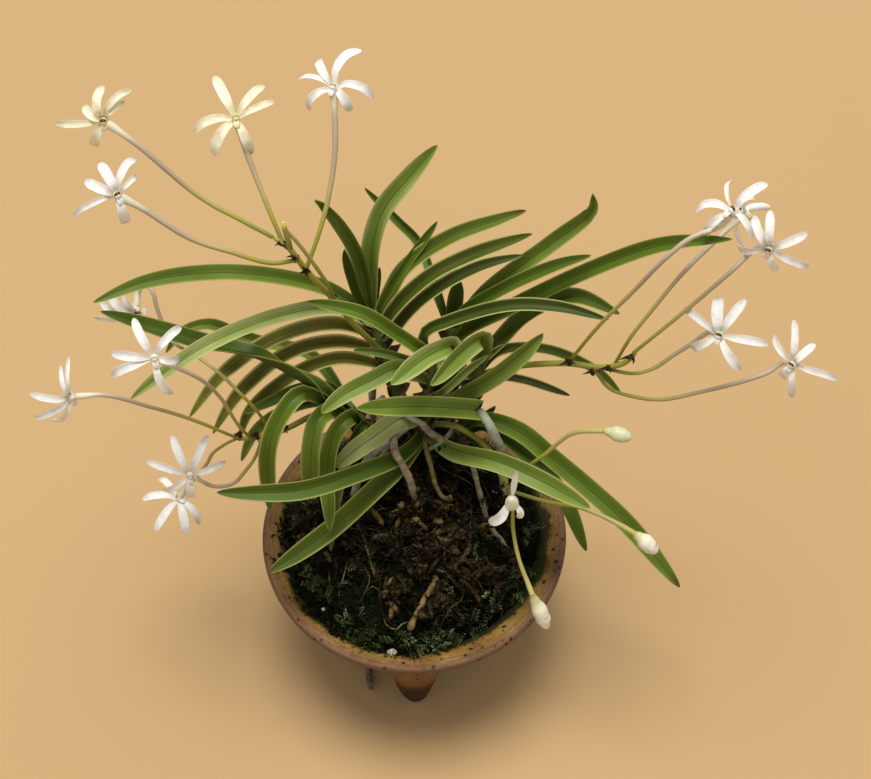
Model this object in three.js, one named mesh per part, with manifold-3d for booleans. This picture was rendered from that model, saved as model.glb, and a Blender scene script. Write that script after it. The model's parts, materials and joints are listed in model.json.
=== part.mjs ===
// Wind orchid: five leafy stems on a mound of moss in a three-footed stoneware bowl,
// with four flower sprays.
// Millimetres, +Z up. The plant is laid out round the bowl's axis (x = 0, y = 0, feet at z = 0);
// the whole group is moved at the end so that the middle of its box stands over the origin.
import * as THREE from "three";
import { mergeVertices } from "three/addons/utils/BufferGeometryUtils.js";
import Module from "manifold-3d";

const wasm = await Module();
wasm.setup();

// ---- driving dimensions -------------------------------------------------------------------------
const bowlRadius = 54; // outside of the lip
const rimHeight = 56; // top of the lip above the table
const bodyBottom = 12; // underside of the bowl's body, carried by the feet
const floorTop = 16; // inside floor of the bowl
const drainRadius = 7; // drain hole
const footRing = 38.5; // distance of each foot's tip from the axis
const bowlSides = 30;
const tubeSides = 5; // stalks and thin roots
const fillTop = 34; // coarse pumice below, moss above
const mossEdge = 49; // where the moss meets the bowl's inner slope
const mossTop = 86; // crown of the moss mound
const mossApex = [2, 12]; // the mound is highest a little behind the axis
const rootCore = { at: [4, 16], rise: 13, spread: 12 }; // old roots under the stems raise it further
const clearance = 0.35; // gap between neighbouring pieces
const leafThickness = 1.1;
const leafEdge = 0.6;
const tepalThickness = 1.0;
const hubRadius = 2.2; // middle of a flower
const axisRadius = 0.95; // flower spray's main axis
const pedicelRadius = 0.8;

const towardsLight = [0, -0.5, 0.87]; // the way most blades turn their upper side

// ---- small helpers ------------------------------------------------------------------------------
const vector = (point) => new THREE.Vector3(point[0], point[1], point[2]);
const curveThrough = (points) => new THREE.CatmullRomCurve3(points.map(vector), false, "centripetal");

function seededRandom(seed) {
  let state = seed;
  return () => {
    state = (state * 1664525 + 1013904223) % 4294967296;
    return state / 4294967296;
  };
}

function solidFrom(geometry) {
  const bare = geometry.clone();
  bare.deleteAttribute("normal");
  bare.deleteAttribute("uv");
  const merged = mergeVertices(bare, 1e-4);
  const vertProperties = new Float32Array(merged.attributes.position.array);
  const triVerts = new Uint32Array(merged.index.array);
  return new wasm.Manifold(new wasm.Mesh({ numProp: 3, vertProperties, triVerts }));
}

function geometryFrom(solid) {
  const mesh = solid.getMesh();
  const geometry = new THREE.BufferGeometry();
  geometry.setAttribute("position", new THREE.BufferAttribute(new Float32Array(mesh.vertProperties), 3));
  geometry.setIndex(new THREE.BufferAttribute(new Uint32Array(mesh.triVerts), 1));
  return geometry;
}

// Joins closed shapes into one body; a scrap that the joining leaves loose is dropped.
function fuse(shapes) {
  let solid = solidFrom(shapes[0]);
  for (const shape of shapes.slice(1)) {
    solid = solid.add(solidFrom(shape));
  }
  return largestBody(solid);
}

function largestBody(solid) {
  const bodies = solid.decompose();
  bodies.sort((a, b) => b.volume() - a.volume());
  return bodies[0];
}

// Closes a row of rings, each with the same number of points, into one skin with a cap at either end.
// capPoint is the corner that the caps fan out from.
function skin(rings, capPoint = 0) {
  const around = rings[0].length;
  const positions = [];
  for (const ring of rings) {
    for (const point of ring) {
      positions.push(point.x, point.y, point.z);
    }
  }
  const faces = [];
  for (let i = 0; i < rings.length - 1; i++) {
    for (let k = 0; k < around; k++) {
      const a = i * around + k;
      const b = i * around + ((k + 1) % around);
      const c = a + around;
      const d = b + around;
      faces.push([a, b, d], [a, d, c]);
    }
  }
  const last = (rings.length - 1) * around;
  for (let k = 1; k < around - 1; k++) {
    const near = (capPoint + k) % around;
    const next = (capPoint + k + 1) % around;
    faces.push([capPoint, next, near]);
    faces.push([last + capPoint, last + near, last + next]);
  }
  const geometry = new THREE.BufferGeometry();
  geometry.setAttribute("position", new THREE.Float32BufferAttribute(positions, 3));
  const insideOut = signedVolume(positions, faces) < 0;
  geometry.setIndex(faces.map((face) => (insideOut ? [face[0], face[2], face[1]] : face)).flat());
  return geometry;
}

function signedVolume(positions, faces) {
  const corner = (index) => new THREE.Vector3().fromArray(positions, index * 3);
  let volume = 0;
  for (const face of faces) {
    volume += corner(face[0]).dot(corner(face[1]).cross(corner(face[2])));
  }
  return volume / 6;
}

function polygon(radius, sides) {
  const corners = [];
  for (let k = 0; k < sides; k++) {
    const angle = (2 * Math.PI * k) / sides;
    corners.push(new THREE.Vector2(radius * Math.cos(angle), radius * Math.sin(angle)));
  }
  return new THREE.Shape(corners);
}

function tube(points, radius, sides = tubeSides, stepLength = 11) {
  const path = curveThrough(points);
  const steps = Math.max(2, Math.round(path.getLength() / stepLength));
  return new THREE.ExtrudeGeometry(polygon(radius, sides), { steps, extrudePath: path, bevelEnabled: false });
}

// A round shoot whose radius changes evenly from one end to the other.
function taperedShoot(points, startRadius, endRadius, sides = 6, steps = 3) {
  const path = curveThrough(points);
  const frames = path.computeFrenetFrames(steps);
  const rings = [];
  for (let i = 0; i <= steps; i++) {
    const centre = path.getPointAt(i / steps);
    const radius = startRadius + ((endRadius - startRadius) * i) / steps;
    const ring = [];
    for (let k = 0; k < sides; k++) {
      const angle = (2 * Math.PI * k) / sides;
      ring.push(
        centre
          .clone()
          .addScaledVector(frames.normals[i], radius * Math.cos(angle))
          .addScaledVector(frames.binormals[i], radius * Math.sin(angle)),
      );
    }
    rings.push(ring);
  }
  return skin(rings);
}

// ---- blades: leaves and tepals ------------------------------------------------------------------
function blendDirections(directions, t) {
  if (directions.length === 1) {
    return vector(directions[0]).normalize();
  }
  const place = t * (directions.length - 1);
  const index = Math.min(directions.length - 2, Math.floor(place));
  return vector(directions[index]).lerp(vector(directions[index + 1]), place - index).normalize();
}

// Position, side and upper direction of a blade at a share t of its length.
function bladeFrame(path, faces, t) {
  const centre = path.getPointAt(t);
  const along = path.getTangentAt(t);
  const side = along.clone().cross(blendDirections(faces, t)).normalize();
  const up = side.clone().cross(along).normalize();
  return { centre, side, up };
}

// Strap leaf: V-folded channel, widest before the middle, running out to a blunt point.
// swell thickens it all over, for cutting a neighbour clear of it.
function leaf({ points, width, faces = [towardsLight], fold = 0.3 }, swell = 0) {
  const path = curveThrough(points);
  const steps = 3 + Math.round(path.getLength() / 30);
  const rings = [];
  for (let i = 0; i <= steps; i++) {
    const t = 1 - (1 - i / steps) ** 1.25;
    const { centre, side, up } = bladeFrame(path, faces, t);
    const clasp = 0.62 + 0.38 * Math.min(1, t / 0.25);
    const point = t < 0.55 ? 1 : Math.sqrt(Math.max(0, 1 - ((t - 0.55) / 0.45) ** 2));
    const half = Math.max(0.4, (width / 2) * clasp * point) + swell;
    const rise = half * (fold + 0.35 * (1 - t) * (1 - t));
    const at = (across, height) => centre.clone().addScaledVector(side, across).addScaledVector(up, height);
    const keel = Math.max(leafEdge, leafThickness * (0.5 + 0.5 * point));
    rings.push([
      at(0, swell),
      at(half, rise + swell),
      at(half, rise - leafEdge - swell),
      at(0, -keel - swell),
      at(-half, rise - leafEdge - swell),
      at(-half, rise + swell),
    ]);
  }
  return skin(rings, 0);
}

// Narrow flower segment: a slim lens in section, widest two thirds of the way out.
function tepal(points, width, face) {
  const path = curveThrough(points);
  const shares = [0, 0.55, 1];
  const widths = [0.26, 1, 0.3];
  const rings = [];
  for (const [i, t] of shares.entries()) {
    const { centre, side, up } = bladeFrame(path, [face], t);
    const half = (width / 2) * widths[i];
    const at = (across, height) => centre.clone().addScaledVector(side, across).addScaledVector(up, height);
    rings.push([at(half, 0), at(0, tepalThickness / 2), at(-half, 0), at(0, -tepalThickness / 2)]);
  }
  return skin(rings, 1);
}

// ---- bowl ---------------------------------------------------------------------------------------
const outerWall = [
  [drainRadius, bodyBottom],
  [22, bodyBottom],
  [31, 15.5],
  [37.5, 23.5],
  [43, 34],
  [49, 46],
  [53.2, 53],
  [bowlRadius, 55],
  [53.2, rimHeight],
];
const innerWall = [
  [51.8, rimHeight],
  [50.2, 54.2],
  [46.6, mossEdge],
  [38.4, fillTop],
  [32, 23],
  [24, 17.4],
  [15, floorTop],
  [drainRadius, floorTop],
];

function turned(profile) {
  const points = [...profile, profile[0]].map(([radius, height]) => new THREE.Vector2(radius, height));
  const lathe = new THREE.LatheGeometry(points, bowlSides);
  lathe.rotateX(Math.PI / 2); // the profile's height runs up +Z
  return lathe;
}

// A squat pot foot: narrow round toe, swelling upwards until it merges with the body.
function foot(azimuth) {
  const levels = [
    // height, half width, half depth, distance from the axis
    [0, 2.6, 2.4, footRing],
    [1.4, 4.2, 3.5, footRing],
    [6, 5.6, 4.5, footRing + 0.2],
    [14, 6.8, 5.2, footRing + 0.4],
    [24, 8.0, 4.7, footRing + 1.4],
    [32, 7.4, 3.0, footRing + 3.8],
    [35, 5.0, 1.2, footRing + 4.9],
  ];
  const sides = 10;
  const rings = levels.map(([height, halfWidth, halfDepth, distance]) => {
    const ring = [];
    for (let k = 0; k < sides; k++) {
      const angle = (2 * Math.PI * k) / sides;
      const outward = distance + halfDepth * Math.cos(angle);
      ring.push(new THREE.Vector3(outward, halfWidth * Math.sin(angle), height));
    }
    return ring;
  });
  return skin(rings).rotateZ(azimuth);
}

function bowl() {
  const feet = [-90, 30, 150].map((degrees) => foot(THREE.MathUtils.degToRad(degrees)));
  return fuse([turned([...outerWall, ...innerWall]), ...feet]);
}

function innerRadiusAt(height) {
  for (let i = 0; i < innerWall.length - 1; i++) {
    const [upperRadius, upper] = innerWall[i];
    const [lowerRadius, lower] = innerWall[i + 1];
    if (height <= upper && height >= lower && upper > lower) {
      return lowerRadius + ((upperRadius - lowerRadius) * (height - lower)) / (upper - lower);
    }
  }
  return innerWall[0][0];
}

// ---- what the bowl holds ------------------------------------------------------------------------
function pumiceFill() {
  const levels = [18.4, 23, fillTop - clearance];
  const wall = levels.map((height) => [innerRadiusAt(height) - clearance - 0.3, height]);
  const outline = [[0, floorTop + 0.6], [14, floorTop + 0.6], ...wall, [0, fillTop - clearance]];
  return geometryFrom(solidFrom(turned(outline)));
}

function mossHeight(x, y) {
  const dx = x - mossApex[0];
  const dy = y - mossApex[1];
  const away = Math.hypot(dx, dy) + 1e-6;
  const edge = innerRadiusAt(mossEdge);
  const inward = (mossApex[0] * dx + mossApex[1] * dy) / away;
  const reach = -inward + Math.sqrt(inward * inward + edge * edge - mossApex[0] ** 2 - mossApex[1] ** 2);
  const share = Math.min(1, away / reach);
  const dome = (mossTop - mossEdge) * Math.cos((share * Math.PI) / 2) ** 0.8;
  const fromCore = Math.hypot(x - rootCore.at[0], y - rootCore.at[1]) / rootCore.spread;
  return mossEdge + dome + rootCore.rise * Math.exp(-(fromCore ** 2));
}

// Mound: the moss fills the upper bowl, follows its wall and rises in lumps to the plant.
function mossBody() {
  const random = seededRandom(7);
  const edgeGap = clearance + 0.2;
  const corner = (k, radius, height) => {
    const angle = (2 * Math.PI * k) / bowlSides;
    return new THREE.Vector3(radius * Math.sin(angle), -radius * Math.cos(angle), height);
  };
  const rings = [];
  for (const height of [fillTop, mossEdge]) {
    const ring = [];
    for (let k = 0; k < bowlSides; k++) {
      ring.push(corner(k, innerRadiusAt(height) - edgeGap, height));
    }
    rings.push(ring);
  }
  const edge = rings[1];
  for (const share of [0.92, 0.8, 0.66, 0.52, 0.38, 0.23, 0.08]) {
    const ring = edge.map((point) => {
      const x = mossApex[0] + (point.x - mossApex[0]) * share;
      const y = mossApex[1] + (point.y - mossApex[1]) * share;
      const lump = 0.9 * Math.sin(x / 4.1) * Math.cos(y / 3.7) + 1.5 * (random() - 0.5);
      return new THREE.Vector3(x, y, mossHeight(x, y) + lump);
    });
    rings.push(ring);
  }
  return skin(rings);
}

// Moss sprigs and dead root stubs that stand out of the mound all over, leaning outwards.
function mossSprigs() {
  const random = seededRandom(21);
  const sprigs = [];
  const count = 28;
  const goldenAngle = 2.39996;
  for (let i = 0; i < count; i++) {
    const angle = i * goldenAngle;
    const radius = 42 * Math.sqrt((i + 0.5) / count);
    const x = radius * Math.cos(angle);
    const y = radius * Math.sin(angle);
    const length = 4.5 + 3.5 * random();
    const buried = 2.2;
    const sprig = new THREE.ConeGeometry(1.5 + 0.9 * random(), length + buried, 4);
    sprig.translate(0, (length - buried) / 2, 0);
    sprig.rotateX(Math.PI / 2);
    sprig.rotateX(0.8 * (random() - 0.5) - y / 60);
    sprig.rotateY(0.8 * (random() - 0.5) + x / 60);
    sprig.translate(x, y, mossHeight(x, y));
    sprigs.push(sprig);
  }
  return sprigs;
}

// ---- leafy stems --------------------------------------------------------------------------------
const stems = {
  fan_main: { points: [[-1, 18, 80], [-4, 21, 104], [-9, 26, 126], [-13, 31, 144]], radii: [3.2, 2.4] },
  fan_back: { points: [[8, 20, 80], [11, 24, 106], [13, 29, 138]], radii: [2.8, 2.2] },
  fan_front: { points: [[3, 10, 80], [3, 12, 98], [5, 13, 116], [6, 16, 140]], radii: [3.0, 2.2] },
  fan_right: { points: [[13, 13, 76], [18, 15, 104], [21, 19, 132]], radii: [2.9, 2.2] },
  fan_left: { points: [[-9, 10, 78], [-15, 11, 100], [-21, 12, 117]], radii: [2.8, 2.2] },
};

const upright = [-0.2, -0.9, 0.35];
const facingOut = [0, -0.95, 0.3];

const leaves = {
  fan_main: [
    { width: 6.2, faces: [upright, [-0.5, -0.8, 0.4]], points: [[-13, 32, 141], [-12, 40, 165], [-8, 45, 177],
      [0, 49, 187], [8, 52, 197]] },
    { width: 4.2, faces: [upright], points: [[-13, 32, 142], [-16, 35, 166], [-21, 36, 180], [-26, 35, 190],
      [-29, 34, 190]] },
    { width: 3.4, faces: [upright], points: [[-14, 31, 142], [-17, 31, 154], [-20, 30, 175]] },
    { width: 3.0, faces: [upright], points: [[-11, 32, 143], [-4, 35, 157], [4, 40, 168], [8, 42, 174]] },
    { width: 2.4, faces: [upright], points: [[-12, 33, 142], [-11, 35, 151], [-10, 36, 159]] },
    { width: 5.0, points: [[-12, 30, 139], [-7, 33, 150], [-2, 36, 159], [12, 40, 169], [27, 42, 175],
      [35, 43, 178]] },
    { width: 4.8, points: [[-11, 28, 135], [-5, 30, 147], [6, 33, 159], [18, 36, 165], [37, 38, 173]] },
    { width: 4.2, points: [[-9, 26, 130], [-3, 28, 143], [6, 30, 154], [20, 32, 164], [34, 33, 169]] },
    { width: 5.0, points: [[-14, 31, 143], [-28, 30, 157], [-54, 26, 169], [-77, 18, 175], [-93, 10, 175]] },
    { width: 5.0, points: [[-12, 29, 139], [-24, 28, 149], [-40, 22, 153], [-59, 6, 161], [-73, -3, 158],
      [-84, -8, 151]] },
    { width: 4.8, points: [[-11, 28, 134], [-25, 27, 142], [-42, 22, 142], [-60, 11, 136], [-70, 0, 129]] },
    { width: 4.8, points: [[-10, 26, 129], [-24, 25, 135], [-39, 20, 136], [-55, 9, 129], [-63, -3, 124]] },
    { width: 4.6, points: [[-8, 24, 123], [-24, 22, 130], [-38, 17, 128], [-52.5, 8, 120], [-56, 3, 113]] },
  ],
  fan_back: [
    { width: 5.4, points: [[13, 29, 136], [25, 34, 151], [43, 38, 168], [54, 38, 183], [54, 38, 191]] },
    { width: 4.2, points: [[13, 29, 134], [17, 28, 147], [28, 29, 157], [44, 28, 170], [54, 27, 176]] },
    { width: 5.0, points: [[12, 27, 129], [18, 27, 139], [31, 28, 149], [52, 28, 166], [73, 24, 184],
      [91, 14, 199]] },
    { width: 3.4, faces: [upright], points: [[12, 29, 136], [8, 38, 146], [2, 52, 153], [-4, 56, 158],
      [-15, 62, 167]] },
    { width: 5.2, faces: [upright], points: [[13, 29, 135], [14, 33, 147], [15, 36, 153]] },
  ],
  fan_front: [
    { width: 4.4, points: [[6, 15, 138], [4, 12, 147], [-4, 13, 155], [-14, 14, 164], [-24, 15, 167],
      [-31, 15, 169]] },
    { width: 6.4, faces: [[-0.2, -0.7, 0.7]], points: [[7, 15, 137], [13, 16, 145], [6, 10, 149],
      [-6, -2, 150]] },
    { width: 4.2, points: [[5, 17, 136], [4, 20, 146], [12, 22, 150], [30, 22, 158], [45, 19, 161],
      [60, 15, 160]] },
    { width: 6.6, faces: [facingOut], points: [[5, 14, 113], [10, 13.8, 118], [17, 12.3, 126], [28, 12, 138],
      [40.7, 16, 151.4]] },
    { width: 2.8, faces: [facingOut], points: [[5, 14, 121], [10, 9, 131], [18, 12, 139], [24, 14, 143]] },
    { width: 5.8, faces: [[-0.2, -0.7, 0.7]], points: [[5, 14, 131], [-4, 10, 142], [-11, 6, 142],
      [-21, 1, 140],
      [-28, -3, 136]] },
    { width: 2.9, faces: [[-0.2, -0.7, 0.7]], points: [[5, 15, 135], [0, 12, 143], [-10, 13, 146],
      [-18, 13, 147]] },
    { width: 6.8, faces: [[-0.3, -0.7, 0.6]], points: [[4, 12, 112], [-4, 6, 119], [-12, 2, 115],
      [-19, -2, 112],
      [-25, -5, 107]] },
    { width: 6.2, faces: [[0, -0.8, 0.5], towardsLight], points: [[3.5, 12, 103], [-3, 3, 104.5], [-20, -9, 109],
      [-35, -17, 113], [-51, -20, 116], [-61, -21, 118]] },
    { width: 6.8, faces: [[0, -0.8, 0.5], towardsLight], points: [[4, 12, 103.5], [12, 5, 103.5], [28, -4, 109],
      [41, -11, 109], [57, -19, 105]] },
    { width: 6.8, faces: [[0, -0.8, 0.5], towardsLight], points: [[3, 11, 101], [-4, 2, 99.5], [-14, -7, 95],
      [-26, -14, 85], [-38, -21, 79], [-48, -27, 76]] },
  ],
  fan_right: [
    { width: 5.4, points: [[20, 19, 129], [28, 25, 136], [36, 28.5, 145], [50, 25.5, 158], [64, 19.5, 157]] },
    { width: 3.4, points: [[20, 18, 125], [28, 22, 134], [43, 22, 135], [60, 18, 128], [68, 14, 121]] },
    { width: 3.0, points: [[19, 17, 117], [25, 20, 122], [35, 18, 124], [51, 13, 122]] },
    { width: 6.6, faces: [[0, -0.9, 0.4]], points: [[21, 19, 130], [22, 18, 146], [21, 15, 151], [14, 8, 151],
      [6, -3, 151]] },
    { width: 6.6, faces: [[0.9, -0.3, 0.3], towardsLight, towardsLight], points: [[18, 14, 113],
      [20.5, 8, 121],
      [17, 5.5, 125.5], [3, 4, 129], [-17, -2, 137]] },
    { width: 6.4, points: [[18, 14, 104], [24, 10, 112.5], [35, 6, 111], [45, 1, 104], [58, -8, 98],
      [71, -17, 90],
      [89, -31, 73]] },
    { width: 5.2, points: [[17, 14, 99], [25, 10, 109], [38, 1, 103.5], [48, -8, 98], [58, -20, 78]] },
    { width: 2.4, faces: [facingOut], points: [[18, 15, 106], [23, 12, 112], [27, 12, 117]] },
  ],
  fan_left: [
    { width: 6.0, faces: [[0.2, -0.9, 0.4], [0, 0.7, 0.7], [0, -0.2, 1], [0, -0.4, 0.9]],
      points: [[-21, 12, 115], [-35, 10, 136], [-47, 11, 146], [-65, 17, 145], [-79, 21, 147],
        [-96, 22, 155]] },
    { width: 4.4, points: [[-19, 13, 111], [-34, 32, 118], [-50, 35, 121], [-57, 34, 126], [-66, 32, 135],
      [-74, 29, 135], [-80, 25, 129]] },
    { width: 4.0, points: [[-19, 12, 110], [-30, 14, 117], [-43, 8, 119], [-51, 4, 114], [-56, -2, 106]] },
    { width: 3.6, points: [[-20, 13, 113], [-27, 16, 122], [-36, 13, 126], [-45, 8, 126], [-53, 2, 128]] },
    { width: 5.8, faces: [[-0.4, -0.7, 0.6], facingOut], points: [[-21, 12, 114], [-34, 8, 132],
      [-41, 0, 130],
      [-45, -6, 122], [-47, -13, 93]] },
    { width: 6.2, faces: [[-0.2, -0.8, 0.6], facingOut], points: [[-20, 11, 112], [-26, 9, 121],
      [-30, 4, 122],
      [-32, -1, 117], [-33, -6, 107], [-33, -9, 93]] },
    { width: 5.6, faces: [[-0.2, -0.8, 0.6], facingOut], points: [[-17, 11, 109], [-19, 6, 122],
      [-23, 1, 123],
      [-26, -2, 117], [-28, -7, 102], [-27.4, -13, 96.4], [-27.3, -19, 90]] },
    { width: 3.4, faces: [facingOut], points: [[-15, 11, 103], [-16, 6, 117], [-20, 2, 109], [-24, -4, 97],
      [-27, -12, 83], [-28, -18, 74]] },
  ],
};

// Dry clasping bases of shed leaves, in two ranks along the lower stem.
function sheaths(stem) {
  const path = curveThrough(stem.points);
  const pieces = [];
  for (const [i, share] of [0.4, 0.57, 0.74].entries()) {
    const rankSide = i % 2 ? 1 : -1;
    const foothold = path.getPointAt(share);
    const tip = foothold.clone().add(new THREE.Vector3(4.8 * rankSide, -0.6, 6.5));
    pieces.push(tepal([foothold.toArray(), tip.toArray()], 5.2, [-rankSide, -0.6, 0.6]));
  }
  return pieces;
}

function leafyStem(name) {
  const stem = stems[name];
  const shoot = taperedShoot(stem.points, stem.radii[0], stem.radii[1]);
  return fuse([shoot, ...leaves[name].map((each) => leaf(each)), ...sheaths(stem)]);
}

// ---- roots --------------------------------------------------------------------------------------
const onMoss = (x, y, lift) => [x, y, mossHeight(x, y) + lift];

const roots = {
  root_right: { from: "fan_right", radius: 1.6, points: [[20.5, 11, 116], [22.5, 7, 120], [24.3, 4.5, 119.5],
    [26.8, 3, 113], [29.4, 2.5, 104], onMoss(31, 2.5, 4), onMoss(31.5, 2.5, -2)] },
  root_left: { from: "fan_front", radius: 1.45, points: [[-1, 9.6, 110.8], [-4, 8, 109.3], [-8, 5.5, 106.8],
    [-13.2, 3.5, 102.3], [-17, 2, 94], onMoss(-20, 1.2, 3), onMoss(-21, 1, -2)] },
  root_front: { from: "fan_front", radius: 1.25, points: [[2, 9.5, 117], [-3.6, 7.5, 115.5], [-6, 3, 114],
    [-5.9, -0.5, 111], [-3.4, -3.5, 106],
    [-1.3, -4, 99], onMoss(0.4, -4, 3), onMoss(1, -4, -2)] },
  root_middle: { from: "fan_front", radius: 1.15, points: [[2, 8, 114.5], [5.7, 6, 111], [8.3, 6.2, 107.7],
    [10.5, 7, 104.2]] },
  root_brown: { from: "fan_right", radius: 0.9, points: [[17, 9, 97], [20, 3, 94],
    [22, -2, 88], onMoss(25, -6, 1.2),
    onMoss(27, -9, 0.8), onMoss(30, -11, 0.7), onMoss(33, -13, -1.5)] },
  root_behind: { from: "fan_back", radius: 1.5, points: [[13.5, 29, 120], [15, 33, 116], [17, 36, 104], onMoss(18, 37, 5),
    onMoss(18, 37.5, -2.5)] },
  root_far_left: { from: "fan_main", radius: 1.4, points: [[-9, 27, 118], [-12, 30, 113], [-14, 33, 100],
    onMoss(-15, 34, 5), onMoss(-15, 34.5, -2.5)] },
  old_spike: { from: "fan_front", radius: 0.8, points: [[4.2, 10.5, 104], [4, 5, 105.7], [6, 0, 99],
    [7.6, -4, 94],
    [10, -6.5, 90.5], [12.5, -8.5, 93], [12.2, -8.8, 95.5]] },
};

function rootShape(root, extra = 0) {
  return tube(root.points, root.radius + extra, 6, 5);
}

// Cuts a root or a spray clear of the leafy stem that it springs from.
function clearOf(solid, parent) {
  const stem = stems[parent];
  const shoot = taperedShoot(stem.points, stem.radii[0] + clearance, stem.radii[1] + clearance);
  let rest = solid.subtract(solidFrom(shoot));
  for (const each of leaves[parent]) {
    rest = rest.subtract(solidFrom(leaf(each, clearance)));
  }
  return largestBody(rest);
}

function root(name) {
  return clearOf(solidFrom(rootShape(roots[name])), roots[name].from);
}

const drainRootPoints = [[0, 0, 15], [-1.5, -3, 8], [-6, -9, 2.9], [-14, -19, 2.3], [-17.3, -28, 2.3],
  [-16.9, -33, 2.3], [-16.4, -37, 2.3]];

// Stems and roots stand in plain holes in the moss.
function mossMound() {
  let moss = fuse([mossBody(), ...mossSprigs()]);
  for (const stem of Object.values(stems)) {
    const start = vector(stem.points[0]);
    const next = vector(stem.points[1]);
    const deeper = start.clone().addScaledVector(next.clone().sub(start).normalize(), -0.6).toArray();
    const hole = taperedShoot([deeper, ...stem.points], stem.radii[0] + 0.5, stem.radii[1] + 0.5, 8, 7);
    moss = moss.subtract(solidFrom(hole));
  }
  for (const each of Object.values(roots)) {
    const end = each.points.at(-1);
    const longer = { ...each, points: [...each.points, [end[0], end[1], end[2] - 1.2]] };
    moss = moss.subtract(solidFrom(rootShape(longer, 0.45)));
  }
  return largestBody(moss);
}

// ---- flowers ------------------------------------------------------------------------------------
// Each flower has its middle, the way it faces, and for each segment the angle round the face and its reach.
const blooms = {
  bloom_upper_1: { at: [-86, 41, 220], facing: [0.12, -0.89, 0.43],
    tips: [[26, 8.5], [45, 11], [80, 9.5], [140, 8], [182, 13.5], [250, 10]] },
  bloom_upper_2: { at: [-83, 26, 204], facing: [0.2, -0.65, 0.73],
    tips: [[22, 9], [52, 12], [107, 10.5], [150, 10], [192, 14], [273, 9.5]] },
  bloom_upper_3: { at: [-50, 48, 212], facing: [-0.16, -0.54, 0.82],
    tips: [[38, 12], [66, 12.5], [129, 14], [207, 13], [251, 12.5], [302, 12]] },
  bloom_upper_4: { at: [-22, 58, 217], facing: [-0.08, -0.21, 0.98],
    tips: [[2, 12], [82, 14], [140, 10.5], [180, 11], [245, 10.5], [320, 10]] },
  bloom_left_1: { at: [-73, -10, 175], facing: [0.02, -0.9, 0.43],
    tips: [[45, 11.5], [112, 13.5], [175, 12], [210, 14.5], [288, 13.5], [351, 8]] },
  bloom_left_2: { at: [-88, 32, 143], facing: [0.3, -0.92, -0.24],
    tips: [[78, 10], [110, 14.5], [146, 10], [187, 14.5], [217, 12], [290, 9]] },
  bloom_left_3: { at: [-99, -14, 161], facing: [0.39, -0.92, 0.06],
    tips: [[70, 14.5], [98, 11.5], [156, 11.5], [200, 13.5], [236, 12.5]] },
  bloom_left_4: { at: [-72, -8, 107], facing: [0.09, -0.83, 0.55],
    tips: [[11, 11.5], [61, 14.5], [108, 14.5], [158, 14.5], [207, 11], [260, 9]] },
  bloom_left_5: { at: [-81, 2, 75], facing: [-0.16, -0.41, 0.9],
    tips: [[153, 11], [195, 13.5], [253, 14], [300, 12.5], [332, 11.5]] },
  bloom_right_1: { at: [91, 19, 206], facing: [-0.42, 0.06, 0.9],
    tips: [[28, 12], [136, 13.5], [180, 13], [255, 12], [309, 10]] },
  bloom_right_2: { at: [99, 34, 187], facing: [0.02, 0.13, 0.99],
    tips: [[39, 12], [84, 13.5], [264, 10], [320, 11]] },
  bloom_right_3: { at: [105, 22, 185], facing: [-0.06, -0.89, 0.45],
    tips: [[23, 11.5], [88, 11], [128, 11], [185, 10], [293, 9.5], [335, 14]] },
  bloom_right_4: { at: [92, 6, 164], facing: [-0.09, -0.77, 0.63],
    tips: [[59, 12.5], [100, 11], [149, 13.5], [211, 10], [308, 14], [353, 14.5]] },
  bloom_right_5: { at: [116, 4, 152], facing: [-0.27, -0.74, 0.61],
    tips: [[52, 10], [98, 13], [138, 10.5], [246, 8.5], [290, 11], [358, 14.5]] },
};

function bloom({ at, facing, tips }) {
  const middle = vector(at);
  const outward = vector(facing).normalize();
  const right = new THREE.Vector3(0, 0, 1).cross(outward).normalize();
  const above = outward.clone().cross(right);
  const pieces = [new THREE.IcosahedronGeometry(hubRadius).translate(...at)];
  for (const [degrees, reach] of tips) {
    const angle = THREE.MathUtils.degToRad(degrees);
    const spread = right.clone().multiplyScalar(Math.cos(angle)).addScaledVector(above, Math.sin(angle));
    const bentBack = Math.max(2, Math.min(4.5, Math.sqrt(Math.max(0, 144 - reach * reach))));
    const inner = middle.clone().addScaledVector(spread, 1.4);
    const belly = middle.clone().addScaledVector(spread, reach * 0.5).addScaledVector(outward, 0.7);
    const tip = middle.clone().addScaledVector(spread, reach).addScaledVector(outward, -bentBack);
    pieces.push(tepal([inner.toArray(), belly.toArray(), tip.toArray()], 4.2, outward.toArray()));
  }
  const column = new THREE.CylinderGeometry(0.9, 1.3, 3.4, 4).translate(0, 2, 0);
  column.applyQuaternion(new THREE.Quaternion().setFromUnitVectors(new THREE.Vector3(0, 1, 0), outward));
  pieces.push(column.translate(...at));
  return fuse(pieces);
}

// Closed bud: an egg drawn out to a blunt nose, lying along its stalk's direction.
const buds = {
  bud_low: { from: [41, -37.5, 71], to: [45, -40, 61], radius: 2.6 },
  bud_side: { from: [71.6, -24, 97.4], to: [79.5, -28, 91.5], radius: 2.7 },
  bud_green: { from: [60, -6, 130.5], to: [68.5, -9, 130.5], radius: 2.5 },
  bloom_opening: { from: [31.6, -13, 101], to: [31.3, -18, 107], radius: 2.7 },
};

const openingTepals = [
  [[31.5, -16, 104], [28, -20, 102], [24, -23, 100]],
  [[31.5, -15, 105], [32.5, -13.5, 112], [33, -13, 117]],
  [[31.5, -16, 104], [34.5, -19, 103], [35.5, -21, 99]],
];

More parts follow.
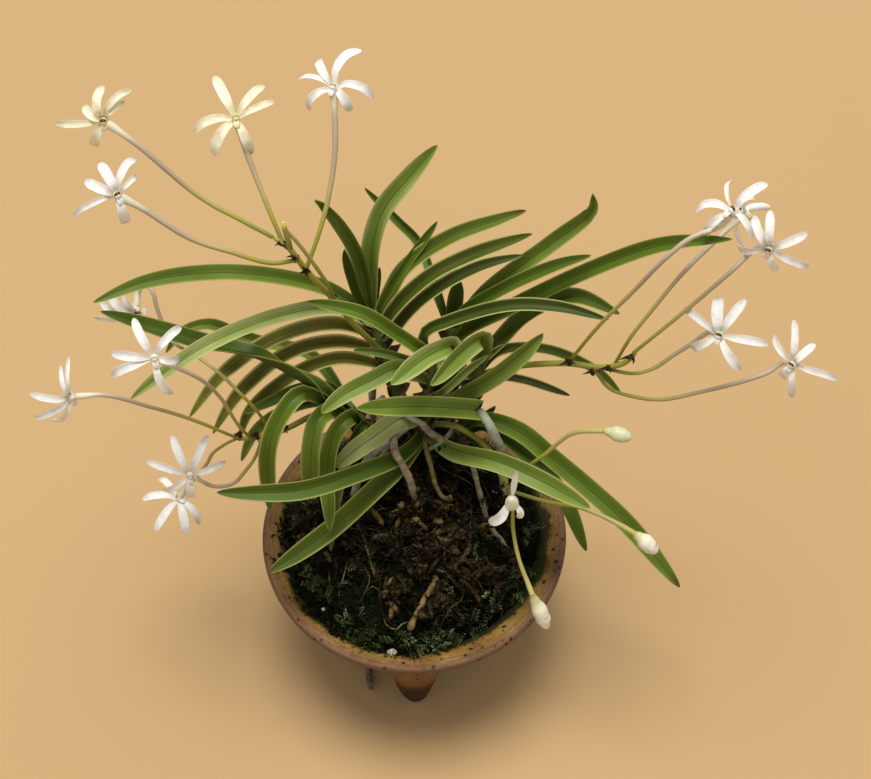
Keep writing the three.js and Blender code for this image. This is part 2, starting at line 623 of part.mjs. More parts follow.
function bud({ from, to, radius }) {
  const start = vector(from);
  const length = vector(to).distanceTo(start);
  const profile = [[0, 0], [0.42, 0.03], [1, 0.4], [0.82, 0.78], [0, 1]];
  const outline = profile.map(([across, along]) => new THREE.Vector2(across * radius, along * length));
  const egg = new THREE.LatheGeometry(outline, 8);
  const turn = new THREE.Quaternion().setFromUnitVectors(
    new THREE.Vector3(0, 1, 0),
    vector(to).sub(start).normalize(),
  );
  return egg.applyQuaternion(turn).translate(...from);
}

function openingBud() {
  const petals = openingTepals.map((points) => tepal(points, 3.8, [0, -0.6, 0.8]));
  return fuse([bud(buds.bloom_opening), ...petals]);
}

// ---- flower sprays ------------------------------------------------------------------------------
// A stalk that leads to a flower or bud ends just short of it.
const sprays = {
  spray_upper: {
    from: "fan_main",
    axis: [[-10, 24, 131], [-13.3, 22, 140], [-18.5, 21.5, 150], [-22.7, 21.5, 160], [-31, 22, 175],
      [-36, 23, 185],
      [-40, 24, 188]],
    stalks: [
      { to: "bloom_upper_1", points: [[-40, 24, 188], [-49, 27, 192], [-61, 31, 198], [-77, 37, 213]] },
      { to: "bloom_upper_2", points: [[-33, 22, 180], [-41, 20, 181], [-52, 20, 186], [-64, 22, 190],
        [-76, 25, 199]] },
      { to: "bloom_upper_3", points: [[-37, 23, 186], [-41, 30, 193], [-47, 42, 203]] },
      { to: "bloom_upper_4", points: [[-31, 22, 176], [-27, 29, 184], [-24, 36, 192], [-22, 46, 201]] },
      { points: [[-26, 22, 166], [-28, 19, 184], [-33, 18, 194], [-35.5, 19, 198], [-37.5, 19.5, 196]] },
    ],
    bracts: [[-24, 23, 161], [-31, 21, 176], [-34, 22, 181], [-37, 23, 186]],
  },
  spray_left: {
    from: "fan_left",
    axis: [[-20, 11, 114], [-26, 11, 117], [-33, 9, 116], [-41, 4, 116], [-48, 0, 118], [-56, -3, 121]],
    stalks: [
      { to: "bloom_left_1", points: [[-51, -2, 119], [-54, -4, 130], [-58, -5, 148], [-62, -7, 160]] },
      { to: "bloom_left_2", points: [[-45, 1.7, 117.2], [-49, 1, 132], [-53, 1, 141], [-58, 4, 146],
        [-66.4, 12, 144.8],
        [-77.5, 25, 137], [-81, 31, 144], [-82.5, 35, 149],
        [-85, 37, 149.5], [-87.5, 36.5, 146]] },
      { to: "bloom_left_3", points: [[-55, -3, 121], [-68, -6, 137], [-78, -9, 148], [-90, -12, 159]] },
      { to: "bloom_left_4", points: [[-48, 0, 118], [-51, -3, 110], [-55, -5, 104], [-59, -7, 100],
        [-65, -8, 100]] },
      { to: "bloom_left_5", points: [[-56, -3, 121], [-60, -1, 115], [-65, 0, 108], [-69, 2, 97],
        [-76, 3, 84]] },
    ],
    bracts: [[-41, 4, 117], [-50, -1, 120], [-55, -2, 122]],
  },
  spray_right: {
    from: "fan_right",
    axis: [[20, 18, 125], [26, 18, 129], [32, 16, 134], [48, 13, 140], [60, 10, 142], [66, 9, 146],
      [69, 9, 152]],
    stalks: [
      { to: "bloom_right_1", points: [[49, 13, 140], [57, 11, 163], [65.7, 11, 180], [73, 12, 193],
        [79.5, 15, 198], [88, 18, 200]] },
      { to: "bloom_right_2", points: [[63, 10, 143], [67, 12, 155], [72, 15, 163], [82, 21, 177]] },
      { to: "bloom_right_3", points: [[68, 9, 151], [78, 12, 162], [86, 15, 170], [95, 20, 177],
        [103, 26, 181]] },
      { to: "bloom_right_4", points: [[61, 10, 141], [69, 7, 143], [75, 7, 146], [80, 8, 151],
        [86, 9.5, 156], [90, 11, 159]] },
      { to: "bloom_right_5", points: [[57, 10, 141], [62, 7, 135], [68, 6, 132.5], [78, 4, 133],
        [90, 3.5, 138],
        [101.6, 4, 142.7], [110, 6, 145], [114.5, 8.5, 146.5]] },
    ],
    bracts: [[49, 12, 142], [57, 10, 140], [61, 9, 143], [67, 8, 150]],
  },
  spray_low: {
    from: "fan_front",
    axis: [[6, 12, 107], [14, 9, 110], [21.4, 5, 107.8], [26.7, 0.5, 105], [28.7, -3, 100.5], [31.8, -6, 94]],
    stalks: [
      { to: "bloom_opening", points: [[31.6, -6, 94], [32, -9, 97]] },
      { to: "bud_low", points: [[31, -5, 95], [32.9, -9, 91], [33.3, -16, 85], [35.2, -25, 81],
        [38.9, -32.5, 74.5]] },
      { to: "bud_side", points: [[31.8, -6, 94], [44.5, -11, 95], [53.8, -15.5, 99.4], [60.7, -19, 100.3],
        [66.4, -22, 99.8]] },
      { to: "bud_green", points: [[31.6, -5, 94], [38, -5, 108], [42, -5, 114], [51, -4, 126]] },
    ],
    bracts: [[30.5, -5, 96], [27, 0, 103]],
  },
};

function targetPoint(name) {
  return blooms[name] ? vector(blooms[name].at) : vector(buds[name].from);
}

function stalk({ to, points }) {
  if (!to) {
    return tube(points, pedicelRadius);
  }
  const aim = targetPoint(to);
  const gap = blooms[to] ? hubRadius + 2 * clearance : 2 * clearance;
  const last = vector(points.at(-1));
  const end = aim.clone().addScaledVector(last.clone().sub(aim).normalize(), gap);
  return tube([...points, end.toArray()], pedicelRadius);
}

// Dry pointed scale at each node of the spray.
function bract(point) {
  const scale = new THREE.ConeGeometry(1.3, 5.4, 4);
  scale.rotateX(1.2);
  return scale.translate(point[0], point[1], point[2] + 0.8);
}

function spray({ from, axis, stalks, bracts }) {
  return clearOf(fuse([tube(axis, axisRadius, 6, 7), ...stalks.map(stalk), ...bracts.map(bract)]), from);
}

// ---- finishes -----------------------------------------------------------------------------------
function finish(color, roughness) {
  return () => new THREE.MeshStandardMaterial({ color, roughness, metalness: 0 });
}

const stoneware = finish("#7f5a3c", 0.55);
const pumice = finish("#b9ad98", 0.95);
const moss = finish("#2b3520", 0.95);
const leafGreen = finish("#5f7f3a", 0.45);
const rootGrey = finish("#9fa893", 0.8);
const rootBrown = finish("#8a7660", 0.85);
const stalkGreen = finish("#a9a040", 0.55);
const tepalWhite = finish("#f1eee8", 0.5);
const tepalCream = finish("#efe9c0", 0.5);

// ---- assembly -----------------------------------------------------------------------------------
const orchid = new THREE.Group();

function place(name, geometry, material) {
  const mesh = new THREE.Mesh(geometry, material());
  mesh.name = name;
  orchid.add(mesh);
}

place("bowl", geometryFrom(bowl()), stoneware);
place("pumice_fill", pumiceFill(), pumice);
place("moss_mound", geometryFrom(mossMound()), moss);
place("drain_root", tube(drainRootPoints, 1.8, 7, 5), rootBrown);
for (const name of Object.keys(stems)) {
  place(name, geometryFrom(leafyStem(name)), leafGreen);
}
const greyRoots = ["root_right", "root_left", "root_behind", "root_far_left"];
for (const name of Object.keys(roots)) {
  place(name, geometryFrom(root(name)), greyRoots.includes(name) ? rootGrey : rootBrown);
}
for (const [name, parts] of Object.entries(sprays)) {
  place(name, geometryFrom(spray(parts)), stalkGreen);
}
for (const [name, shape] of Object.entries(blooms)) {
  const cream = name === "bloom_upper_1" || name === "bloom_upper_3";
  place(name, geometryFrom(bloom(shape)), cream ? tepalCream : tepalWhite);
}
for (const name of ["bud_low", "bud_side", "bud_green"]) {
  place(name, bud(buds[name]), tepalWhite);
}
place("bloom_opening", geometryFrom(openingBud()), tepalWhite);

const extent = new THREE.Box3().setFromObject(orchid);
orchid.position.set(-(extent.min.x + extent.max.x) / 2, -(extent.min.y + extent.max.y) / 2, -extent.min.z);

export default orchid;
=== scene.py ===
import json
import math
import random
from functools import partial
import bpy
import bmesh
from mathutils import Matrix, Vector, noise

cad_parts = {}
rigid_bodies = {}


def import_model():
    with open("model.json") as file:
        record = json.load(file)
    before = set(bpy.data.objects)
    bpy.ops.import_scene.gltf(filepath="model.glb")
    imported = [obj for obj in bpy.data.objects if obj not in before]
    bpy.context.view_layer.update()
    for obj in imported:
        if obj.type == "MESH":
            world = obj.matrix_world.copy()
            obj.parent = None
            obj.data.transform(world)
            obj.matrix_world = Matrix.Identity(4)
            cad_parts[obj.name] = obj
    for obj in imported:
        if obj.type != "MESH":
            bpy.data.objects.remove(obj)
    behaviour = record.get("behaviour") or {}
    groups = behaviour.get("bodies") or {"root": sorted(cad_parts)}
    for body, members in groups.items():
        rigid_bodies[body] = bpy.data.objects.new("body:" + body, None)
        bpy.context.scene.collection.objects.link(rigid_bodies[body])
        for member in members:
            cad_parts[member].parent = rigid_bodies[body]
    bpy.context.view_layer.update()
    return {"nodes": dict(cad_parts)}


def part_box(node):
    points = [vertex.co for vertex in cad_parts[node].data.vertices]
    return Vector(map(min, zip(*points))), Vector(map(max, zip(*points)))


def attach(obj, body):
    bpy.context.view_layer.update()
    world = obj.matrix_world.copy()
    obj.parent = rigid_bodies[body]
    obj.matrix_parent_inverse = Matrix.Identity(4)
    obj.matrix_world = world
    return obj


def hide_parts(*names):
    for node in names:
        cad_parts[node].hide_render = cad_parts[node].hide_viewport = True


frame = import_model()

# A wind orchid in a three-footed stoneware bowl. Sizes are in millimetres round the bowl's own
# axis, with z = 0 at its feet, and turn into metres as each mesh is made. What the lamp, the floor,
# the trees and the finishes take is in metres.
bowlLow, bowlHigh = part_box("bowl")
bowlAxis = Vector(((bowlLow.x + bowlHigh.x) / 2, (bowlLow.y + bowlHigh.y) / 2, 0.0))
scene = bpy.context.scene


def toMetres(point):
    return Vector(point) * 0.001 + bowlAxis


def toLinear(code):
    channels = [int(code[i:i + 2], 16) / 255 for i in (1, 3, 5)]
    return tuple(c / 12.92 if c <= 0.04045 else ((c + 0.055) / 1.055) ** 2.4 for c in channels) + (1.0,)


def ease(low, high, value):
    t = min(1.0, max(0.0, (value - low) / (high - low)))
    return t * t * (3 - 2 * t)


# adds a node with its settings and its links; a kind with no "Node" in it is a shader node; a key is
# a socket's name or number, and a value is a number, a colour's hex code, a socket or a node, whose
# first open output is meant
def addNode(tree, kind, links=None, stops=None, **settings):
    node = tree.nodes.new(kind if "Node" in kind else "ShaderNode" + kind)
    for key, value in settings.items():
        setattr(node, key, value)
    for key, value in (links or {}).items():
        named = [s for s in node.inputs if s.enabled and s.name == key]
        socket = node.inputs[key] if isinstance(key, int) else named[0]
        if isinstance(value, bpy.types.Node):
            value = next(s for s in value.outputs if s.enabled)
        if isinstance(value, bpy.types.NodeSocket):
            tree.links.new(value, socket)
        else:
            isColour = isinstance(value, str) and value[0] == "#"
            socket.default_value = toLinear(value) if isColour else value
    for i, (place, code) in enumerate(stops or []):
        elements = node.color_ramp.elements
        element = elements[i] if i < 2 else elements.new(place)
        element.position, element.color = place, toLinear(code)
    return node


# an empty material, the function that adds nodes to it, and the object's own coordinates
def newFinish(name):
    material = bpy.data.materials.new(name)
    material.use_nodes = True
    material.node_tree.nodes.clear()
    add = partial(addNode, material.node_tree)
    return material, add, add("TexCoord").outputs["Object"]


def endFinish(material, surface):
    shader = addNode(material.node_tree, "BsdfPrincipled", surface)
    addNode(material.node_tree, "OutputMaterial", {"Surface": shader})
    return material


camera = {"lens": 62.8, "sensor": 36.0, "target": (7.47, 0.0, 144.4), "elevation": 55.52,
          "distance": 465.8, "near": 0.01, "far": 20.0}


def setCamera():
    data = bpy.data.cameras.new("studioCamera")
    data.lens, data.sensor_width = camera["lens"], camera["sensor"]
    data.clip_start, data.clip_end = camera["near"], camera["far"]
    rig = bpy.data.objects.new("studioCamera", data)
    scene.collection.objects.link(rig)
    tilt = math.radians(camera["elevation"])
    back = Vector((0, -math.cos(tilt), math.sin(tilt)))
    rig.location = toMetres(Vector(camera["target"]) + back * camera["distance"])
    rig.rotation_euler = back.to_track_quat("Z", "Y").to_euler()
    scene.camera = rig


studio = {
    "sky": (1.0, 0.97, 0.93), "skyStrength": 0.45,
    "lamp": {"place": (-0.1, 0.36, 2.5), "aim": (0, 0, 0.1), "size": 1.3, "watts": 59.0,
             "colour": (1.0, 0.965, 0.91)},
    "floorReach": 3,
}


# painted board: matt emulsion, a faint cloudiness in an even sand colour
def boardFinish():
    material, add, place = newFinish("mattSandBoard")
    cloud = add("TexNoise", {"Vector": place, "Scale": 3.0, "Detail": 2.0})
    colour = add("Mix", {"Factor": cloud, "A": "#bc9b6c", "B": "#c6a576"}, data_type="RGBA")
    return endFinish(material, {"Base Color": colour, "Roughness": 0.85, "IOR": 1.45})


def setStudio():
    world = bpy.data.worlds.new("studioWorld")
    world.use_nodes = True
    background = world.node_tree.nodes["Background"]
    background.inputs["Color"].default_value = studio["sky"] + (1.0,)
    background.inputs["Strength"].default_value = studio["skyStrength"]
    scene.world = world
    scene.view_settings.view_transform = "Standard"
    settings = studio["lamp"]
    lamp = bpy.data.lights.new("lampBehind", "AREA")
    lamp.shape, lamp.size, lamp.energy = "DISK", settings["size"], settings["watts"]
    lamp.color = settings["colour"]
    holder = bpy.data.objects.new("lampBehind", lamp)
    scene.collection.objects.link(holder)
    holder.location = settings["place"]
    back = Vector(settings["place"]) - Vector(settings["aim"])
    holder.rotation_euler = back.to_track_quat("Z", "Y").to_euler()
    reach = studio["floorReach"]
    mesh = bpy.data.meshes.new("floorBoard")
    mesh.from_pydata([(-reach, -reach, 0), (reach, -reach, 0), (reach, reach, 0), (-reach, reach, 0)],
                     [], [(0, 1, 2, 3)])
    mesh.materials.append(boardFinish())
    board = bpy.data.objects.new("floorBoard", mesh)
    scene.collection.objects.link(board)


setCamera()
setStudio()
print("camera, floor and lamp are set")


curveSteps = 16  # samples between two points of a path


# centripetal curve through the points, then the place and direction at each share of its length
def alongPath(points, shares):
    knots = [Vector(p) for p in points]
    knots = [knots[0] * 2 - knots[1]] + knots + [knots[-1] * 2 - knots[-2]]
    dense = []
    for i in range(1, len(knots) - 2):
        a, b, c, d = knots[i - 1:i + 3]
        tb = max(1e-4, (b - a).length ** 0.5)
        tc = tb + max(1e-4, (c - b).length ** 0.5)
        td = tc + max(1e-4, (d - c).length ** 0.5)
        for k in range(curveSteps):
            t = tb + (tc - tb) * k / curveSteps
            ab, bc, cd = a.lerp(b, t / tb), b.lerp(c, (t - tb) / (tc - tb)), c.lerp(d, (t - tc) / (td - tc))
            abc, bcd = ab.lerp(bc, t / tc), bc.lerp(cd, (t - tb) / (td - tb))
            dense.append(abc.lerp(bcd, (t - tb) / (tc - tb)))
    dense.append(knots[-2])
    reached = [0.0]
    for a, b in zip(dense, dense[1:]):
        reached.append(reached[-1] + (b - a).length)
    found, k = [], 0
    for share in shares:
        goal = share * reached[-1]
        while k < len(dense) - 2 and reached[k + 1] < goal:
            k += 1
        mix = (goal - reached[k]) / max(1e-6, reached[k + 1] - reached[k])
        ahead = dense[min(k + 3, len(dense) - 1)] - dense[max(k - 2, 0)]
        found.append((dense[k].lerp(dense[k + 1], mix), ahead.normalized()))
    return found, reached[-1]


# quads from ring to ring, and the face that closes each end
def ringFaces(first, rings, around):
    faces = []
    for k in range(rings - 1):
        for i in range(around):
            a, b = first + k * around + i, first + k * around + (i + 1) % around
            faces.append((a, b, b + around, a + around))
    last = first + (rings - 1) * around
    return faces + [tuple(range(first, first + around))[::-1], tuple(range(last, last + around))]


def addAttribute(mesh, name, kind, values):
    attribute = mesh.attributes.new(name, kind, "POINT")
    flat = [c for v in values for c in v] if kind == "FLOAT_VECTOR" else values
    attribute.data.foreach_set("vector" if kind == "FLOAT_VECTOR" else "value", flat)


# an empty Geometry Nodes tree with named inputs, the function that adds nodes to it, and the
# sockets that give those inputs
def newTree(name, inputs):
    tree = bpy.data.node_groups.new(name, "GeometryNodeTree")
    tree.interface.new_socket("Shape", in_out="INPUT", socket_type="NodeSocketGeometry")
    for label, kind, value in inputs:
        socket = tree.interface.new_socket(label, in_out="INPUT", socket_type="NodeSocket" + kind)
        if value is not None:
            socket.default_value = value
    tree.interface.new_socket("Finish", in_out="INPUT", socket_type="NodeSocketMaterial")
    tree.interface.new_socket("Shape", in_out="OUTPUT", socket_type="NodeSocketGeometry")
    return tree, partial(addNode, tree), tree.nodes.new("NodeGroupInput").outputs


# realizes the grown shape, smooth and in its finish
def endTree(tree, add, given, shape):
    smooth = add("GeometryNodeSetShadeSmooth", {"Geometry": shape})
    whole = add("GeometryNodeRealizeInstances", {"Geometry": smooth})
    painted = add("GeometryNodeSetMaterial", {"Geometry": whole, "Material": given["Finish"]})
    add("NodeGroupOutput", {0: painted})
    return tree


bladeValues = {"across": "FLOAT", "under": "FLOAT", "half": "FLOAT", "rise": "FLOAT", "keel": "FLOAT",
               "side": "FLOAT_VECTOR", "lift": "FLOAT_VECTOR", "tone": "FLOAT_VECTOR"}
tubeValues = {"girth": "FLOAT", "share": "FLOAT", "reach": "FLOAT", "tone": "FLOAT_VECTOR"}


# opens each flat strip out to its width, folds it along the middle and gives it its thickness
def bladeTree():
    tree, add, given = newTree("strapBlade", [
        ("Fold Sharpness", "Float", 1.5), ("Margin Thickness", "Float", 0.0003),
        ("Ripple Height", "Float", 0.0002), ("Ripple Length", "Float", 0.012), ("Seed", "Int", 3)])
    stored = {name: add("GeometryNodeInputNamedAttribute", {"Name": name}, data_type=kind)
              for name, kind in bladeValues.items()}
    across, under = stored["across"], stored["under"]
    outward = add("Math", {0: across, 1: stored["half"]}, operation="MULTIPLY")
    sideways = add("VectorMath", {0: stored["side"], "Scale": outward}, operation="SCALE")
    away = add("Math", {0: across}, operation="ABSOLUTE")
    bend = add("Math", {0: away, 1: given["Fold Sharpness"]}, operation="POWER")
    rise = add("Math", {0: bend, 1: stored["rise"]}, operation="MULTIPLY")
    inner = add("Math", {0: away, 1: away}, operation="MULTIPLY")
    belly = add("Math", {0: 1.0, 1: inner}, operation="SUBTRACT")
    flesh = add("Math", {0: belly, 1: stored["keel"], 2: given["Margin Thickness"]},
                operation="MULTIPLY_ADD")
    below = add("Math", {0: flesh, 1: under}, operation="MULTIPLY")
    size = add("Math", {0: 1.0, 1: given["Ripple Length"]}, operation="DIVIDE")
    wave = add("TexNoise", {"W": given["Seed"], "Scale": size, "Detail": 1.0}, noise_dimensions="4D")
    centred = add("Math", {0: wave, 1: 0.5}, operation="SUBTRACT")
    ripple = add("Math", {0: centred, 1: given["Ripple Height"]}, operation="MULTIPLY")
    edgeRipple = add("Math", {0: ripple, 1: away}, operation="MULTIPLY")
    height = add("Math", {0: rise, 1: below}, operation="SUBTRACT")
    height = add("Math", {0: height, 1: edgeRipple}, operation="ADD")
    upwards = add("VectorMath", {0: stored["lift"], "Scale": height}, operation="SCALE")
    shift = add("VectorMath", {0: sideways, 1: upwards}, operation="ADD")
    opened = add("GeometryNodeSetPosition", {"Geometry": given["Shape"], "Offset": shift})
    return endTree(tree, add, given, opened)


# rounds each path into a stalk, shoot or root, with a wrinkled and ringed skin
def tubeTree():
    tree, add, given = newTree("roundShoot", [
        ("Sides", "Int", 10), ("Wrinkle Depth", "Float", 0.0002), ("Wrinkle Size", "Float", 0.002),
        ("Ring Depth", "Float", 0.0), ("Ring Spacing", "Float", 0.002), ("Seed", "Int", 5)])
    stored = {name: add("GeometryNodeInputNamedAttribute", {"Name": name}, data_type=kind)
              for name, kind in tubeValues.items()}
    path = add("GeometryNodeMeshToCurve", {"Mesh": given["Shape"]})
    ring = add("GeometryNodeCurvePrimitiveCircle", {"Resolution": given["Sides"], "Radius": 1.0})
    tube = add("GeometryNodeCurveToMesh", {"Curve": path, "Profile Curve": ring, "Scale": stored["girth"],
                                           "Fill Caps": True})
    size = add("Math", {0: 1.0, 1: given["Wrinkle Size"]}, operation="DIVIDE")
    wave = add("TexNoise", {"W": given["Seed"], "Scale": size, "Detail": 2.0}, noise_dimensions="4D")
    centred = add("Math", {0: wave, 1: 0.5}, operation="SUBTRACT")
    wrinkle = add("Math", {0: centred, 1: given["Wrinkle Depth"]}, operation="MULTIPLY")
    turns = add("Math", {0: stored["reach"], 1: given["Ring Spacing"]}, operation="DIVIDE")
    swing = add("Math", {0: turns, 1: 6.2832}, operation="MULTIPLY")
    rings = add("Math", {0: swing}, operation="SINE")
    height = add("Math", {0: rings, 1: given["Ring Depth"], 2: wrinkle}, operation="MULTIPLY_ADD")
    shift = add("VectorMath", {0: add("GeometryNodeInputNormal"), "Scale": height}, operation="SCALE")
    skinned = add("GeometryNodeSetPosition", {"Geometry": tube, "Offset": shift})
    return endTree(tree, add, given, skinned)


# strews copies of one small shape over a surface, leaning every way, more of them where "cover" is high
def strewTree():
    tree, add, given = newTree("strewnSprigs", [
        ("Sprig", "Object", None), ("Density", "Float", 250000.0), ("Smallest", "Float", 0.6),
        ("Largest", "Float", 1.3), ("Lean", "Float", 0.9), ("Seed", "Int", 11)])
    cover = add("GeometryNodeInputNamedAttribute", {"Name": "cover"}, data_type="FLOAT")
    many = add("Math", {0: cover, 1: given["Density"]}, operation="MULTIPLY")
    spread = add("GeometryNodeDistributePointsOnFaces", {"Mesh": given["Shape"], "Density": many,
                                                         "Seed": given["Seed"]})
    lean = add("FunctionNodeRandomValue", {"Min": (-1.0, -1.0, -3.14159), "Max": (1.0, 1.0, 3.14159),
                                           "Seed": given["Seed"]}, data_type="FLOAT_VECTOR")
    leanScale = add("CombineXYZ", {"X": given["Lean"], "Y": given["Lean"], "Z": 1.0})
    leant = add("VectorMath", {0: lean, 1: leanScale}, operation="MULTIPLY")
    tilt = add("FunctionNodeEulerToRotation", {"Euler": leant})
    turn = add("FunctionNodeRotateRotation", {"Rotation": spread.outputs["Rotation"], "Rotate By": tilt},
               rotation_space="LOCAL")
    size = add("FunctionNodeRandomValue", {"Min": given["Smallest"], "Max": given["Largest"]},
               data_type="FLOAT")
    sprig = add("GeometryNodeObjectInfo", {"Object": given["Sprig"]}).outputs["Geometry"]
    placed = add("GeometryNodeInstanceOnPoints", {"Points": spread.outputs["Points"], "Instance": sprig,
                                                  "Rotation": turn, "Scale": size})
    shade = add("FunctionNodeRandomValue", {"Min": 0.0, "Max": 1.0, "Seed": 29}, data_type="FLOAT")
    marked = add("GeometryNodeStoreNamedAttribute", {"Geometry": placed, "Name": "shade", "Value": shade},
                 data_type="FLOAT", domain="INSTANCE")
    return endTree(tree, add, given, marked)


blades, shootsTree, strew = bladeTree(), tubeTree(), strewTree()


def faceOutwards(mesh):
    turned = bmesh.new()
    turned.from_mesh(mesh)
    bmesh.ops.recalc_face_normals(turned, faces=turned.faces)
    turned.to_mesh(mesh)
    turned.free()


# gives a source mesh its modifier, evaluates it and keeps the result as a plain closed mesh
def grow(source, tree, finish, **sizes):
    modifier = source.modifiers.new("grow", "NODES")
    modifier.node_group = tree
    sizes["Finish"] = finish
    for item in tree.interface.items_tree:
        if item.in_out == "INPUT" and item.name.replace(" ", "") in sizes:
            modifier[item.identifier] = sizes[item.name.replace(" ", "")]
    graph = bpy.context.evaluated_depsgraph_get()
    mesh = bpy.data.meshes.new_from_object(source.evaluated_get(graph), preserve_all_data_layers=True,
                                           depsgraph=graph)
    source.modifiers.remove(modifier)
    source.data = mesh
    faceOutwards(mesh)
    return source


def newPiece(name, mesh):
    piece = bpy.data.objects.new(name, mesh)
    scene.collection.objects.link(piece)
    return piece


def smoothPiece(mesh, finish):
    mesh.polygons.foreach_set("use_smooth", [True] * len(mesh.polygons))
    mesh.materials.append(finish)
    return newPiece(mesh.name, mesh)


def declare(piece, slot, *nodes):
    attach(piece, "root")
    if nodes:
        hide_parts(*nodes)
    return piece


# outlines of a blade, leaf, sheath or flower segment alike: places across its upper side and its
# underside, from margin to margin
ringTop = [-1, -0.93, -0.78, -0.52, -0.26, 0, 0.26, 0.52, 0.78, 0.93, 1]
ringUnder = [0.93, 0.62, 0.3, 0, -0.3, -0.62, -0.93]


# each blade: points, directions its upper side turns to, tone, steps, and shape(t) giving half
# width, rise of the margins and keel, all in mm; its rings come closer together towards the tip
def bladeSource(name, rows):
    verts, faces, uvs = [], [], []
    values = {key: [] for key in bladeValues}
    around = len(ringTop) + len(ringUnder)
    for points, turns, tone, steps, shape in rows:
        first = len(verts)
        shares = [1 - (1 - i / steps) ** 1.35 for i in range(steps + 1)]
        found, _ = alongPath(points, shares)
        for t, (centre, tangent) in zip(shares, found):
            place = t * (len(turns) - 1)
            k = min(max(0, len(turns) - 2), int(place))
            facing = Vector(turns[k]).lerp(Vector(turns[min(k + 1, len(turns) - 1)]), place - k)
            side = tangent.cross(facing).normalized()
            lift = side.cross(tangent).normalized()
            half, rise, keel = shape(t)
            for isUnder, ring in ((0.0, ringTop), (1.0, ringUnder)):
                for across in ring:
                    verts.append(toMetres(centre))
                    values["across"].append(float(across))
                    values["under"].append(isUnder)
                    values["half"].append(half * 0.001)
                    values["rise"].append(rise * 0.001)
                    values["keel"].append(keel * 0.001)
                    values["side"].append(side)
                    values["lift"].append(lift)
                    values["tone"].append(tone)
                    uvs.append((0.5 + across / 2, t))
        faces += ringFaces(first, steps + 1, around)
    mesh = bpy.data.meshes.new(name)
    mesh.from_pydata(verts, [], faces)
    for key, each in values.items():
        addAttribute(mesh, key, bladeValues[key], each)
    layer = mesh.uv_layers.new(name="blade")
    corners = [0] * len(mesh.loops)
    mesh.loops.foreach_get("vertex_index", corners)
    layer.data.foreach_set("uv", [c for index in corners for c in uvs[index]])
    return newPiece(name, mesh)


plain = (0, 0, 0)  # the tone of a blade or tube whose finish doesn't read it


# each tube: points, girths as (share, radius in mm), tone; the rings of a short tube crowd towards
# its ends, and every tube has rings 0.6 mm from both ends and 0.2 mm from its tip
def tubeSource(name, rows, stepLength=1.2):
    verts, edges = [], []
    values = {key: [] for key in tubeValues}
    for points, girths, tone in rows:
        _, length = alongPath(points, [0, 1])
        count = max(8, round(length / stepLength))
        shares = [0.5 - 0.5 * math.cos(math.pi * i / count) if count < 14 else i / count
                  for i in range(count + 1)]
        shares = sorted(set(shares + [0.6 / length, 1 - 0.6 / length, 1 - 0.2 / length]))
        found, _ = alongPath(points, shares)
        first = len(verts)
        for i, (t, (centre, _)) in enumerate(zip(shares, found)):
            k = max(j for j, g in enumerate(girths) if g[0] <= t) if t > girths[0][0] else 0
            near, far = girths[k], girths[min(k + 1, len(girths) - 1)]
            mix = ease(near[0], far[0], t) if far[0] > near[0] else 0
            verts.append(toMetres(centre))
            values["girth"].append((near[1] + (far[1] - near[1]) * mix) * 0.001)
            values["share"].append(t)
            values["reach"].append(t * length * 0.001)
            values["tone"].append(tone)
            if i:
                edges.append((first + i - 1, first + i))
    mesh = bpy.data.meshes.new(name)
    mesh.from_pydata(verts, edges, [])
    for key, each in values.items():
        addAttribute(mesh, key, tubeValues[key], each)
    return newPiece(name, mesh)


bowlForm = {
    "sides": 144, "steps": 150,
    "drainRadius": 6.9,
    "outer": [(7, 12), (22, 12), (31, 15.5), (37.5, 23.5), (43, 34), (49, 46), (53.1, 53), (53.9, 54.7),
              (53.2, 55.9)],
    "inner": [(52.5, 55.95), (51.2, 55.5), (49.4, 54.6), (47.2, 53.1), (44.6, 50.6), (42, 47.2), (40, 43.5),
              (37.5, 36), (32, 23), (24, 17.4), (15, 16), (7, 16)],
    "footAzimuths": (-90, 30, 150),
    "foot": [(0, 1.5, 1.4, 38.5), (0.5, 2.8, 2.5, 38.5), (2, 3.8, 3.3, 38.5), (6, 5, 4.2, 38.7),
             (14, 6.7, 5.2, 38.9), (24, 8.3, 4.7, 39.9), (32, 8.4, 3.1, 42.2), (36.5, 6.4, 1.4, 43.8)],
    "footSides": 32, "footSteps": 30, "footDents": 0.035,
    # depth in mm of the rings that the potter's fingers left, and the heights they lie between
    "throwingMarks": 0.12, "marked": (14, 52),
    "lipStarts": 54,
}


